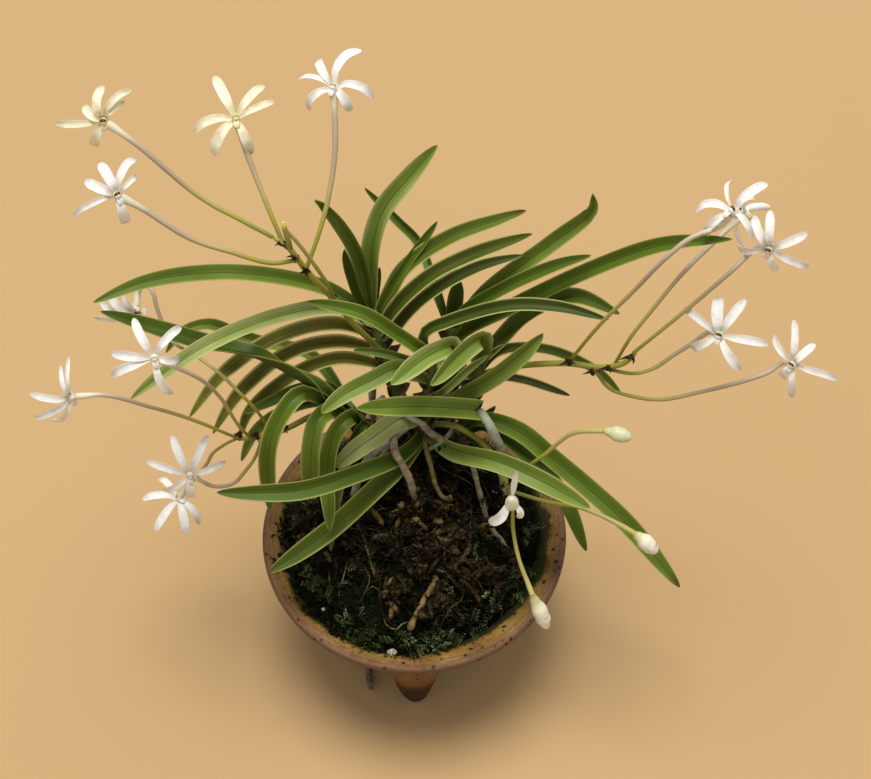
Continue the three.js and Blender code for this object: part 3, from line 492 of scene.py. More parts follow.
# reduction-fired stoneware with iron in the clay: ochre where the glaze is thin, brown-purple on
# the lip, rust freckles with a brown halo, and feet that go dark towards the floor
def stonewareFinish():
    material, add, place = newFinish("ironSpeckledStoneware")
    place = add("Mapping", {"Vector": place, "Location": tuple(-bowlAxis)})
    split = add("SeparateXYZ", {0: place})
    inside = add("Attribute", attribute_name="inside").outputs["Fac"]
    cloud = add("TexNoise", {"Vector": place, "Scale": 80.0, "Detail": 7.0, "Roughness": 0.68})
    grains = add("TexNoise", {"Vector": place, "Scale": 1500.0, "Detail": 3.0, "Roughness": 0.7})
    mottled = add("Math", {0: grains, 1: 0.55, 2: -0.275}, operation="MULTIPLY_ADD")
    mottled = add("Math", {0: cloud, 1: mottled}, operation="ADD")
    ochre = add("ValToRGB", {0: mottled}, stops=[(0.32, "#6a4e22"), (0.5, "#927031"), (0.68, "#a98848")])
    outer = add("ValToRGB", {0: mottled}, stops=[(0.3, "#5c3f2c"), (0.52, "#7c583b"), (0.72, "#936c48")])
    walls = add("Mix", {"Factor": inside, "A": outer, "B": ochre}, data_type="RGBA")
    wobble = add("Math", {0: cloud, 1: 0.004, 2: split.outputs["Z"]}, operation="MULTIPLY_ADD")
    # the glaze thins from ochre to mauve brown towards the lip, and the lip itself has a satin line
    flat = add("CombineXYZ", {"X": split.outputs["X"], "Y": split.outputs["Y"]})
    radius = add("VectorMath", {0: flat}, operation="LENGTH").outputs["Value"]
    radius = add("Math", {0: cloud, 1: 0.006, 2: radius}, operation="MULTIPLY_ADD")
    nearLip = add("MapRange", {"Value": radius, "From Min": 0.0505, "From Max": 0.0555},
                  interpolation_type="SMOOTHSTEP")
    nearLip = add("Math", {0: nearLip, 1: inside}, operation="MULTIPLY")
    # fine turning lines run round the lip, half a millimetre apart; their pale streaks are partly
    # the glaze's own colour and partly painted highlight along the ridges
    turning = add("CombineXYZ", {"X": radius, "Y": split.outputs["Z"]})
    turning = add("TexNoise", {"Vector": turning, "Scale": 1700.0, "Detail": 2.0})
    turned = add("Math", {0: grains, 1: 0.4, 2: turning}, operation="MULTIPLY_ADD")
    lipTone = add("ValToRGB", {0: turned}, stops=[(0.5, "#5c4329"), (0.68, "#7f6039"), (0.9, "#a58b66")])
    mauve = add("Mix", {"Factor": nearLip, "A": walls, "B": lipTone}, data_type="RGBA")
    crest = add("MapRange", {"Value": radius, "From Min": 0.0555, "From Max": 0.0562},
                interpolation_type="SMOOTHSTEP")
    high = add("MapRange", {"Value": wobble, "From Min": 0.0557, "From Max": 0.0572},
               interpolation_type="SMOOTHSTEP")
    lip = add("Math", {0: crest, 1: high}, operation="MULTIPLY")
    lipped = add("Mix", {"Factor": lip, "A": mauve, "B": "#654a30"}, data_type="RGBA")
    footTone = add("ValToRGB", {0: mottled}, stops=[(0.3, "#5f4119"), (0.7, "#845c24")])
    footOchre = add("MapRange", {"Value": wobble, "From Min": 0.034, "From Max": 0.026},
                    interpolation_type="SMOOTHSTEP")
    footed = add("Mix", {"Factor": footOchre, "A": lipped, "B": footTone}, data_type="RGBA")
    # the feet go near-black brown below about 26 mm
    toe = add("MapRange", {"Value": wobble, "From Min": 0.026, "From Max": 0.0205},
              interpolation_type="SMOOTHSTEP")
    toed = add("Mix", {"Factor": toe, "A": footed, "B": "#30200f"}, data_type="RGBA")
    # freckles of iron, 0.5 to 1.4 mm, about one to every 5 mm square
    frayed = add("TexNoise", {"Vector": place, "Scale": 800.0, "Detail": 3.0}).outputs["Color"]
    frayed = add("VectorMath", {0: frayed, 1: (0.0011, 0.0011, 0.0011), 2: place},
                 operation="MULTIPLY_ADD")
    speck = add("TexVoronoi", {"Vector": frayed, "Scale": 370.0, "Randomness": 1.0})
    pick = add("SeparateColor", {0: speck.outputs["Color"]})
    near = add("Math", {0: pick.outputs["Red"], 1: 0.4}, operation="GREATER_THAN")
    size = add("Math", {0: pick.outputs["Green"], 1: 0.22, 2: 0.09}, operation="MULTIPLY_ADD")
    core = add("Math", {0: speck.outputs["Distance"], 1: size}, operation="LESS_THAN")
    dot = add("Math", {0: core, 1: near}, operation="MULTIPLY")
    reach = add("Math", {0: size, 1: 2.2}, operation="MULTIPLY")
    halo = add("MapRange", {"Value": speck.outputs["Distance"], "From Min": reach, "From Max": size,
                            "To Max": 0.55})
    haloed = add("Math", {0: halo, 1: near}, operation="MULTIPLY")
    browned = add("Mix", {"Factor": haloed, "A": toed, "B": "#6b4426"}, data_type="RGBA")
    dotted = add("Mix", {"Factor": dot, "A": browned, "B": "#321b12"}, data_type="RGBA")
    # a dark green film on the inner slope, darker lower down, up to a wavering edge that is lowest at the
    # front
    swell = add("TexNoise", {"Vector": place, "Scale": 26.0, "Detail": 2.0})
    lean = add("VectorMath", {0: place, 1: (0.5, -0.87, 0.0)}, operation="DOT_PRODUCT")
    filmEdgeDrop = add("MapRange", {"Value": lean.outputs["Value"], "From Min": 0.036, "From Max": 0.045,
                             "To Max": 0.0016}, interpolation_type="SMOOTHSTEP")
    film = add("Math", {0: split.outputs["Z"], 1: filmEdgeDrop}, operation="ADD")
    film = add("Math", {0: swell, 1: 0.005, 2: film}, operation="MULTIPLY_ADD")
    film = add("Math", {0: cloud, 1: 0.004, 2: film}, operation="MULTIPLY_ADD")
    film = add("Math", {0: grains, 1: 0.0036, 2: film}, operation="MULTIPLY_ADD")
    filmReach = add("MapRange", {"Value": film, "From Min": 0.0602, "From Max": 0.0588},
               interpolation_type="SMOOTHSTEP")
    depth = add("MapRange", {"Value": film, "From Min": 0.0592, "From Max": 0.0555})
    greenFilm = add("Mix", {"Factor": depth, "A": "#2d2e13", "B": "#1d2a12"}, data_type="RGBA")
    film = add("Math", {0: filmReach, 1: 0.95}, operation="MULTIPLY")
    film = add("Math", {0: film, 1: inside}, operation="MULTIPLY")
    greened = add("Mix", {"Factor": film, "A": dotted, "B": greenFilm.outputs[2]}, data_type="RGBA")
    gloss = add("MapRange", {"Value": lip, "To Min": 0.66, "To Max": 0.46})
    relief = add("Math", {0: grains, 1: 0.6, 2: cloud}, operation="MULTIPLY_ADD")
    bumps = add("Bump", {"Height": relief, "Strength": 0.55, "Distance": 0.0006})
    return endFinish(material, {"Base Color": greened, "Roughness": gloss, "IOR": 1.5,
                                "Specular IOR Level": 0.3, "Normal": bumps})


def makeBowl(finish):
    outline = bowlForm["outer"] + bowlForm["inner"]
    closed = [outline[-1]] + outline + [outline[0]]
    steps = bowlForm["steps"]
    found, _ = alongPath([(r, 0, z) for r, z in closed], [i / steps for i in range(steps + 1)])
    verts, faces, inside = [], [], []
    profile = [(p.x, p.z) for p, _ in found][:-1]
    profile = [p for p in profile if p[0] >= bowlForm["drainRadius"]]
    crest = max(range(len(profile)), key=lambda k: profile[k][1])
    sides = bowlForm["sides"]
    for k, (radius, height) in enumerate(profile):
        isInside = 1.0 if k > crest + 1 else 0.0
        for i in range(sides):
            angle = 2 * math.pi * i / sides
            mark = bowlForm["throwingMarks"] * math.sin(height * 1.9 + 0.35 * math.sin(angle * 2))
            flank = mark if bowlForm["marked"][0] < height < bowlForm["marked"][1] else 0.0
            uneven = 0.25 * noise.noise(Vector((math.cos(angle) * 1.6, math.sin(angle) * 1.6, height / 26)))
            r = radius + (flank + uneven if height < bowlForm["lipStarts"] else uneven * 0.5)
            verts.append(toMetres((r * math.cos(angle), r * math.sin(angle), height)))
            inside.append(isInside)
    rows = len(profile)
    for k in range(rows):
        for i in range(sides):
            a, b = k * sides + i, k * sides + (i + 1) % sides
            c, d = (k + 1) % rows * sides + (i + 1) % sides, (k + 1) % rows * sides + i
            faces.append((a, b, c, d))
    around, steps = bowlForm["footSides"], bowlForm["footSteps"]
    for azimuth in bowlForm["footAzimuths"]:
        turn = math.radians(azimuth)
        levels, _ = alongPath([(half, depth, height) for height, half, depth, _ in bowlForm["foot"]],
                              [i / steps for i in range(steps + 1)])
        centres, _ = alongPath([(distance, 0, height) for height, _, _, distance in bowlForm["foot"]],
                               [i / steps / 2 for i in range(2 * steps + 1)])
        first = len(verts)
        for level, _ in levels:
            height = max(0.0, level.z)
            distance = min(centres, key=lambda c: abs(c[0].z - height))[0].x
            for i in range(around):
                angle = 2 * math.pi * i / around
                dent = noise.noise(Vector((math.cos(angle), math.sin(angle) + azimuth, height / 9)))
                wobble = 1 + bowlForm["footDents"] * dent
                outwards = distance + level.y * math.cos(angle) * wobble
                sideways = level.x * math.sin(angle) * wobble
                verts.append(toMetres((outwards * math.cos(turn) - sideways * math.sin(turn),
                                       outwards * math.sin(turn) + sideways * math.cos(turn), height)))
                inside.append(0.0)
        faces += ringFaces(first, len(levels), around)
    mesh = bpy.data.meshes.new("bowlStoneware")
    mesh.from_pydata(verts, [], faces)
    addAttribute(mesh, "inside", "FLOAT", inside)
    faceOutwards(mesh)
    declare(smoothPiece(mesh, finish), "stoneware", "bowl")


makeBowl(stonewareFinish())
print("the bowl is turned and stands on its feet")


mound = {
    "edge": 49.0, "top": 86.0, "apex": (2, 12), "rimRadius": 46.2, "mossRadius": 46.6,
    "base": 34.0, "baseRadius": 37.9, "core": (4, 16), "coreRise": 13.0, "coreSpread": 12.0,
    "rings": 80, "sides": 190,
    # height in mm of the lumps and pits between roots, and of the crumbs on them
    "lumps": 3.0, "crumbs": 1.3,
    # bare strip along the front right wall: its direction and half widths in degrees, depth and
    # radii in mm
    "hollow": {"towards": -45, "spread": 52, "full": 28, "depth": 8.5, "starts": 31.0, "ends": 41},
    # how many of each, then distances from the axis in mm: how far out stubs are strewn, start at
    # most and reach at most, and how far out fibres are strewn and run at most
    "creeping": 110, "stubs": 165, "fibres": 230,
    "stubSpread": 40, "stubLimit": 39, "stubTips": 41, "fibreSpread": 43, "fibreLimit": 42,
    "fibreStep": 3.4,  # mm from one bend of a fibre to the next
}


def wallHeight(radius):
    slope = bowlForm["inner"][1:8]
    for (far, high), (near, low) in zip(slope, slope[1:]):
        if near <= radius <= far:
            return low + (high - low) * (radius - near) / (far - near)
    return 0.0


def mossHeight(x, y):
    apexX, apexY = mound["apex"]
    hollow = mound["hollow"]
    dx, dy = x - apexX, y - apexY
    away = math.hypot(dx, dy) + 1e-6
    inward = (apexX * dx + apexY * dy) / away
    edge = max(0.0, inward ** 2 + mound["mossRadius"] ** 2 - apexX ** 2 - apexY ** 2)
    share = min(1, away / (-inward + math.sqrt(edge)))
    dome = (mound["top"] - mound["edge"]) * max(0.0, math.cos(share * math.pi / 2)) ** 0.8
    fromCore = math.hypot(x - mound["core"][0], y - mound["core"][1]) / mound["coreSpread"]
    off = abs((math.degrees(math.atan2(y, x)) - hollow["towards"] + 180) % 360 - 180)
    radius = math.hypot(x, y)
    dip = hollow["depth"] * ease(hollow["spread"], hollow["full"], off)
    dip *= ease(hollow["starts"], hollow["ends"], radius)
    height = mound["edge"] + dome + mound["coreRise"] * math.exp(-fromCore ** 2) - dip
    return max(height, wallHeight(radius) - 0.9)


# damp moss and old root mass, matt: nearly black over most of it, partly its own colour and partly
# painted shade for the gaps under the fronds and stubs; deep green and brown in patches, and darkest
# where its bumps are lowest
def mossFinish():
    material, add, place = newFinish("dampMossBed")
    patch = add("TexNoise", {"Vector": place, "Scale": 160.0, "Detail": 6.0, "Roughness": 0.7})
    fine = add("TexNoise", {"Vector": place, "Scale": 1300.0, "Detail": 3.0})
    blend = add("Math", {0: fine, 1: 0.35, 2: patch}, operation="MULTIPLY_ADD")
    colour = add("ValToRGB", {0: blend}, stops=[(0.5, "#050602"), (0.68, "#0e1106"), (0.8, "#1d210d"),
                                                (0.92, "#37321b")])
    bumps = add("Bump", {"Height": blend, "Strength": 0.9, "Distance": 0.0015})
    return endFinish(material, {"Base Color": colour, "Roughness": 0.95, "IOR": 1.4,
                                "Specular IOR Level": 0.12, "Normal": bumps})


# moss fronds: dark at the stem, bottle green to grey-green at the leaf tips, with no gloss
def sprigFinish(name, dark, middle, light):
    material, add, place = newFinish(name)
    tip = add("Attribute", attribute_name="tip").outputs["Fac"]
    shade = add("Attribute", attribute_name="shade").outputs["Fac"]
    patch = add("TexNoise", {"Vector": place, "Scale": 90.0, "Detail": 3.0})
    value = add("Math", {0: shade, 1: 0.35, 2: -0.25}, operation="MULTIPLY_ADD")
    value = add("Math", {0: patch, 1: 0.7, 2: value}, operation="MULTIPLY_ADD")
    value = add("Math", {0: tip, 1: 0.45, 2: value}, operation="MULTIPLY_ADD")
    colour = add("ValToRGB", {0: value}, stops=[(0.15, dark), (0.55, middle), (0.95, light)])
    return endFinish(material, {"Base Color": colour, "Roughness": 0.8, "IOR": 1.4,
                                "Specular IOR Level": 0.15})


# dead velamen and root stubs: papery tan to umber, cracked and fibrous, quite matt; the mottle
# that raises the bumps also darkens their low spots towards black and lightens their crowns, partly the
# bark's own tone and partly painted shade in the pits and painted highlight on the crowns
def deadRootFinish():
    material, add, place = newFinish("deadRootBark")
    tone = add("Attribute", attribute_name="tone")
    lightness = add("SeparateXYZ", {0: tone.outputs["Vector"]})
    mottle = add("TexNoise", {"Vector": place, "Scale": 420.0, "Detail": 5.0, "Roughness": 0.7})
    value = add("Math", {0: lightness.outputs["X"], 1: 0.8, 2: -0.4}, operation="MULTIPLY_ADD")
    value = add("Math", {0: mottle, 1: value}, operation="ADD")
    colour = add("ValToRGB", {0: value}, stops=[(0.2, "#0c0a05"), (0.42, "#241e10"), (0.62, "#524425"),
                                                (0.92, "#927f50")])
    bumps = add("Bump", {"Height": mottle, "Strength": 0.7, "Distance": 0.0006})
    return endFinish(material, {"Base Color": colour, "Roughness": 0.88, "IOR": 1.45,
                                "Specular IOR Level": 0.2, "Normal": bumps})


def makeMoundBody(finish):
    sides, rings = mound["sides"], mound["rings"]
    verts, cover = [], []

    def addRing(radius, height):
        for i in range(sides):
            angle = 2 * math.pi * i / sides
            verts.append(toMetres((radius * math.sin(angle), -radius * math.cos(angle), height)))
            cover.append(0.0)

    addRing(mound["baseRadius"] - 0.6, mound["base"] + 0.3)
    addRing(mound["rimRadius"] - 1.2, mound["edge"] - 2.5)
    for k in range(rings + 1):
        share = 1 - 0.985 * k / rings
        for i in range(sides):
            angle = 2 * math.pi * i / sides
            x = mound["apex"][0] + (mound["rimRadius"] * math.sin(angle) - mound["apex"][0]) * share
            y = mound["apex"][1] + (-mound["rimRadius"] * math.cos(angle) - mound["apex"][1]) * share
            spot = Vector((x / 5.5, y / 5.5, 3.1))
            lump = noise.fractal(spot, 0.75, 2.1, 4) * mound["lumps"]
            settle = ease(1.0, 0.93, share)
            crumb = noise.fractal(spot * 4.2, 0.6, 2.2, 3) * mound["crumbs"]
            z = mossHeight(x, y) + (lump + crumb) * (0.15 + 0.85 * settle) - 0.6
            verts.append(toMetres((x, y, z)))
            damp = noise.noise(Vector((x / 9, y / 9, 8.0)))
            bare = ease(26, 10, math.hypot(x - 5, y + 10))
            thick = max(0.12, min(1.0, 0.75 + damp * 0.8 - 0.75 * bare))
            atWall = math.hypot(x, y) > 43.5 or wallHeight(math.hypot(x, y)) > z - 0.4
            cover.append(0.0 if atWall else thick)
    mesh = bpy.data.meshes.new("mossBed")
    mesh.from_pydata(verts, [], ringFaces(0, len(verts) // sides, sides))
    addAttribute(mesh, "cover", "FLOAT", cover)
    return smoothPiece(mesh, finish)


fronds = {  # stem in mm, pairs of leaves, leaf in mm, seed
    "frond": (2.4, 3, 1.1, 4), "wisp": (8.0, 6, 1.9, 9), "creeper": (3.4, 4, 1.3, 21),
    "tuft": (2.8, 3, 1.8, 15), "flake": (1.5, 2, 1.9, 33),
}


# one frond: a bent stem with narrow pointed leaves in pairs, every leaf a closed sliver
def frondMesh(name):
    reach, pairs, leafReach, seed = fronds[name]
    draw = random.Random(seed)
    verts, faces, tip = [], [], []

    def sliver(root, end, width, low, high):
        along = (end - root).normalized()
        side = along.cross(Vector((0.3, 0.2, 1))).normalized() * width
        above = side.cross(along).normalized() * width * 0.35
        first = len(verts)
        middle = root.lerp(end, 0.4)
        verts.extend([root, middle + side, middle - side, middle + above, end])
        tip.extend([low, (low + high) / 2, (low + high) / 2, high * 0.8, high])
        for face in ((0, 3, 1), (0, 2, 3), (0, 1, 2), (4, 1, 3), (4, 3, 2), (4, 2, 1)):
            faces.append(tuple(first + k for k in face))

    bend = Vector((0.35 * reach, 0.1 * reach, 0))
    sliver(Vector((0, 0, -0.4)), Vector((0, 0, reach)) + bend, 0.22, 0.0, 0.7)
    for i in range(pairs):
        share = 0.22 + 0.78 * i / pairs
        root = Vector((0, 0, share * reach)) + bend * share
        for sign in (-1, 1):
            swing = draw.uniform(-0.5, 0.5)
            leaf = Vector((math.sin(swing), sign * math.cos(swing), 0.75)) * leafReach * (1.15 - 0.6 * share)
            sliver(root, root + leaf, leafReach * 0.17, share * 0.6, 0.6 + 0.4 * share)
    mesh = bpy.data.meshes.new(name)
    mesh.from_pydata([v * 0.001 for v in verts], [], faces)
    addAttribute(mesh, "tip", "FLOAT", tip)
    return newPiece(name, mesh)


def strewOver(name, mesh, frondName, finish, **sizes):
    frond = frondMesh(frondName)
    source = grow(newPiece(name, mesh), strew, finish, Sprig=frond, **sizes)
    bpy.data.objects.remove(frond)
    return source


# small eight-sided patches, laid on the moss or on the bowl's wall, that other moss can grow from
def patchMesh(name, spots, width, limit):
    verts, faces = [], []
    for x, y in spots:
        first = len(verts)
        for i in range(8):
            angle = i * math.pi / 4
            u, v = x + width * math.cos(angle), y + width * 0.75 * math.sin(angle)
            inwards = min(1.0, limit / math.hypot(u, v))
            u, v = u * inwards, v * inwards
            verts.append(toMetres((u, v, max(mossHeight(u, v), wallHeight(math.hypot(u, v))) + 0.2)))
        faces.append(tuple(first + i for i in range(8)))
    mesh = bpy.data.meshes.new(name)
    mesh.from_pydata(verts, [], faces)
    addAttribute(mesh, "cover", "FLOAT", [1.0] * len(verts))
    return mesh


sprigSpots = [  # where light reaches and larger, paler sprigs of another moss grow
    (5.6, -41), (10.7, -41.5), (8, -42), (2, -42.5), (-3.6, -42), (6, -38), (-19.4, -38), (-25, -35),
    (-14, -40), (22.6, -13.7), (-37, 2), (19, -36.5), (33, -20), (-36, -20), (-41, -9), (28, -27),
    (39, -14), (-30, -25), (14, -31), (-18.5, -15), (-15.5, -20.5), (39, -3), (-9, -43), (-17, -41),
    (-22, -38), (13, -41.5), (10, -44), (6, -44.5),
]
stubPaths = [  # stubs and thick old roots that stand out on their own: path, radius and how light
    ([(-3, -5, 80), (-5.5, -8.1, 84), (-8, -10, 83)], 1.2, 0.85),
    ([(-1, -4, 81), (-2.8, -6.7, 85.5), (-5, -8, 88)], 1.3, 0.8),
    ([(0, 1, 84), (-0.1, -1.4, 88), (2, -4, 91)], 1.2, 0.8),
    ([(2, -7, 79), (1.6, -10.5, 83.5), (-1, -13, 85)], 1.1, 0.75),
    ([(8, -8, 79), (7.6, -11.1, 83), (10, -13, 85)], 1.2, 0.85),
    ([(9, -4, 81), (9, -7.1, 85), (12, -8, 88)], 1.1, 0.8),
    ([(6, -12, 77), (9, -16, 79), (13, -17, 80)], 1.0, 0.85),
    ([(7.3, -24, 69), (7.3, -27.5, 70.6), (4, -32, 67.2), (-0.5, -38.7, 61.2), (-1.5, -40, 57)], 1.35, 1.0),
    ([(-20, -7, 75), (-17, -13, 75.5), (-14, -20, 72.5), (-12.3, -25, 68)], 0.7, 0.7),
    ([(12, -19, 73), (14, -22, 74.5), (13, -25, 72.5), (10, -24.5, 71)], 1.2, 0.8),
    ([(-4, -28, 67), (-6.5, -33, 66.2), (-8, -37.5, 61.5)], 1.0, 0.75),
]
rootEnds = [  # old root ends that lie on the mound: from where, to where, radius and how light
    (-15, -4, -10, -11, 1.15, 0.75), (-2, -6, -6, -12, 1.1, 0.8), (-1, -9, 5, -13, 1.0, 0.7),
    (6, -15, 13, -11, 1.05, 0.75), (17, -16, 10, -15, 1.0, 0.7), (-3, -23, 6, -20, 1.15, 0.65),
    (7, -23, 14, -26, 1.1, 0.75), (-6, -25, -10, -31, 1.05, 0.85), (-9, -32, -5, -35, 0.9, 0.8),
    (-41, 10, -43, 1, 1.1, 0.7), (-31, -13, -28, -18, 1.0, 0.65), (-19, -7, -13, -25, 0.5, 0.8),
    (22, 3, 25, -3, 1.1, 0.7), (3, 0, -3, -3, 1.15, 0.75), (6, -3, 0, -6, 1.1, 0.7),
    (2, -19, 4, -24, 0.95, 0.7), (-24, -9, -21, -16, 0.9, 0.6), (18, -26, 23, -29, 0.9, 0.6),
]


def makeFronds(bed, finish):
    cover = [0.0] * len(bed.data.vertices)
    bed.data.attributes["cover"].data.foreach_get("value", cover)
    # two pieces, left and right of the middle, because one would be too heavy
    for name, side in (("mossFrondsLeft", -1), ("mossFrondsRight", 1)):
        mesh = bed.data.copy()
        half = [thick if (v.co.x - bowlAxis.x) * side >= 0 else 0.0
                for thick, v in zip(cover, mesh.vertices)]
        mesh.attributes["cover"].data.foreach_set("value", half)
        declare(strewOver(name, mesh, "frond", finish, Density=950000.0, Smallest=0.4, Largest=1.3,
                          Lean=1.1, Seed=11), "moss", "moss_mound")


def makeWisps(dark):
    light = sprigFinish("wispyMoss", "#1f2611", "#4a5630", "#97a172")
    mesh = patchMesh("sprigSpots", sprigSpots, 3.2, 45)
    declare(strewOver("mossWisps", mesh, "wisp", light, Density=300000.0, Smallest=0.35, Largest=1.1,
                      Lean=1.3, Seed=5), "moss")
    # on the left and at the front the moss has crept up the wall, over part of the ochre band
    draw = random.Random(29)
    wallSpots = []
    for i in range(mound["creeping"]):
        angle, radius = math.radians(draw.uniform(-196, -82)), draw.triangular(43, 49.5, 44)
        wallSpots.append((radius * math.cos(angle), radius * math.sin(angle)))
    mesh = patchMesh("wallSpots", wallSpots, 1.6, 50)
    declare(strewOver("wallMoss", mesh, "creeper", dark, Density=620000.0, Smallest=0.4, Largest=1.2,
                      Lean=1.3, Seed=7), "moss")


# dry brown tufts between the stubs, where the old roots come through
def makeTufts(bed, dry):
    mesh = bed.data.copy()
    patches = [ease(17, 5, math.hypot(v.co.x * 1000 - bowlAxis.x * 1000 - 6,
                                      v.co.y * 1000 - bowlAxis.y * 1000 + 11)) for v in mesh.vertices]
    mesh.attributes["cover"].data.foreach_set("value", patches)
    declare(strewOver("dryTufts", mesh, "tuft", dry, Density=300000.0, Smallest=0.5, Largest=1.4,
                      Lean=1.0, Seed=23), "root_brown")


# radii along a stub that swells and narrows, down to a blunt end
def knobbly(draw, girth, least, most, end):
    return [(k / 7, girth * draw.uniform(least, most)) for k in range(7)] + [(1, end)]


# dead root stubs lean out of the mound, thickest in front of the plant
def makeStubs(draw, bark, dry):
    rows = []
    for i in range(mound["stubs"]):
        angle, radius = draw.uniform(0, 2 * math.pi), mound["stubSpread"] * math.sqrt(draw.random())
        x, y = radius * math.cos(angle), radius * math.sin(angle)
        if i % 2:
            x, y = 5 + draw.gauss(0, 11), -13 + draw.gauss(0, 9)
        if math.hypot(x, y) > mound["stubLimit"]:
            continue
        lean = Vector((x - 2 + draw.gauss(0, 14), y - 12 + draw.gauss(0, 14), draw.uniform(4, 30)))
        lean.normalize()
        reach = draw.uniform(4.5, 12.0)
        girth, lightness = draw.uniform(0.4, 0.95), draw.uniform(0.0, 0.5)
        if i % 3 == 0:
            reach, girth, lightness = draw.uniform(7, 12), draw.uniform(0.75, 1.15), draw.uniform(0.3, 0.6)
        while math.hypot(x + lean.x * reach, y + lean.y * reach) > mound["stubTips"]:
            reach *= 0.8
        start = Vector((x, y, mossHeight(x, y) - 2.2))
        points, share = [start], 0.0
        while share < 1:
            share += draw.uniform(0.2, 0.34)
            crook = Vector((draw.gauss(0, 1), draw.gauss(0, 1), draw.gauss(0, 0.8))) * reach * 0.13
            points.append(start + lean * reach * share + crook)
        rows.append((points, knobbly(draw, girth, 0.5, 1.15, 0.08), (lightness, 0, 0)))
    for points, girth, lightness in stubPaths:
        rows.append((points, knobbly(draw, girth, 0.65, 1.1, 0.1), (lightness, 0, 0)))
    for x, y, toX, toY, girth, lightness in rootEnds:
        start, end = (Vector((u, v, mossHeight(u, v))) for u, v in ((x, y), (toX, toY)))
        points = [start - Vector((0, 0, 1.2)), (start + end) / 2 + Vector((0, -0.6, 2.2)),
                  end + Vector((0, -0.8, 1.2))]
        rows.append((points, knobbly(draw, girth, 0.65, 1.1, 0.1), (lightness, 0, 0)))
    stubs = grow(tubeSource("rootStubs", rows, 0.55), shootsTree, bark, Sides=8, WrinkleDepth=0.0009,
                 WrinkleSize=0.0013, RingDepth=0.00005, RingSpacing=0.0009)
    # their loose skin flakes off in curled scraps
    mesh = stubs.data.copy()
    addAttribute(mesh, "cover", "FLOAT", [1.0] * len(mesh.vertices))
    declare(strewOver("rootFlakes", mesh, "flake", dry, Density=210000.0, Smallest=0.4, Largest=1.35,
                      Lean=1.4, Seed=37), "root_brown")
    declare(stubs, "root_brown", "moss_mound")


# fine dead roots wander over the moss
def makeFibres(draw, bark):
    rows = []
    for i in range(mound["fibres"]):
        angle, radius = draw.uniform(0, 2 * math.pi), mound["fibreSpread"] * math.sqrt(draw.random())
        x, y = radius * math.cos(angle), radius * math.sin(angle)
        heading = draw.uniform(0, 2 * math.pi)
        points = []
        for k in range(5):
            if math.hypot(x, y) > mound["fibreLimit"]:
                break
            points.append((x, y, mossHeight(x, y) + draw.uniform(-0.6, 2.1)))
            heading += draw.gauss(0, 0.55)
            x, y = x + mound["fibreStep"] * math.cos(heading), y + mound["fibreStep"] * math.sin(heading)
        if len(points) > 2:
            girths = [(0, 0.1), (0.5, draw.uniform(0.12, 0.3)), (1, 0.07)]
            rows.append((points, girths, (draw.uniform(0.35, 1.0), 0, 0)))
    declare(grow(tubeSource("rootFibres", rows, 1.6), shootsTree, bark, Sides=4, WrinkleDepth=0.0001,
                 WrinkleSize=0.002), "root_brown")


def makeMound():
    bed = makeMoundBody(mossFinish())
    dark = sprigFinish("featherMoss", "#060802", "#171d09", "#3f4a20")
    dry = sprigFinish("dryMossTuft", "#0a0804", "#2c2413", "#705c36")
    bark = deadRootFinish()
    makeFronds(bed, dark)
    declare(bed, "moss", "moss_mound")
    makeWisps(dark)
    makeTufts(bed, dry)
    draw = random.Random(17)
    makeStubs(draw, bark, dry)
    makeFibres(draw, bark)


makeMound()
print("the mound is planted with moss, stubs and fibres")


# pumice grit: porous off-white lava, dusty and matt
def pumiceFinish():
    material, add, place = newFinish("porousPumice")
    pores = add("TexVoronoi", {"Vector": place, "Scale": 900.0})
    dust = add("TexNoise", {"Vector": place, "Scale": 260.0, "Detail": 4.0})
    colour = add("ValToRGB", {0: dust}, stops=[(0.3, "#a89a80"), (0.7, "#d9d2c2")])
    bumps = add("Bump", {"Height": pores, "Strength": 0.6, "Distance": 0.0008})
    return endFinish(material, {"Base Color": colour, "Roughness": 0.95, "IOR": 1.5, "Normal": bumps})


pumice = pumiceFinish()
fill = frame["nodes"]["pumice_fill"].data
fill.materials.clear()
fill.materials.append(pumice)


pebbles = [  # middle and radius
    (-7.3, -45.4, 53.0, 1.35), (27.7, 4.3, 75.2, 0.9), (-31, -30, 54.6, 0.7), (36, 18, 62, 0.8),
]


def makePebbles():
    joined = bmesh.new()
    for x, y, z, size in pebbles:
        grain = bmesh.ops.create_icosphere(joined, subdivisions=3, radius=1.0)["verts"]
        for vert in grain:
            dent = 1 + 0.28 * noise.noise(vert.co * 1.4 + Vector((x, y, z)))
            place = Vector((vert.co.x * 1.15, vert.co.y, vert.co.z * 0.8)) * size * dent
            vert.co = toMetres(Vector((x, y, z)) + place)
    mesh = bpy.data.meshes.new("strayPebbles")
    joined.to_mesh(mesh)
    joined.free()
    declare(smoothPiece(mesh, pumice), "pumice")


makePebbles()


toLight = (0, -0.5, 0.87)
upright = (-0.2, -0.9, 0.35)
facingOut = (0, -0.95, 0.3)
shoots = {  # path of each leafy stem, radius at its foot and at its crown
    "fan_main": ([(-1, 18, 80), (-4, 21, 104), (-9, 26, 126), (-13, 31, 144)], (3.2, 2.4)),
    "fan_back": ([(8, 20, 80), (11, 24, 106), (13, 29, 138)], (2.8, 2.2)),
    "fan_front": ([(3, 10, 80), (3, 12, 98), (5, 13, 116), (6, 16, 140)], (3, 2.2)),
    "fan_right": ([(13, 13, 76), (18, 15, 104), (21, 19, 132)], (2.9, 2.2)),
    "fan_left": ([(-9, 10, 78), (-15, 11, 100), (-21, 12, 117)], (2.8, 2.2)),
}

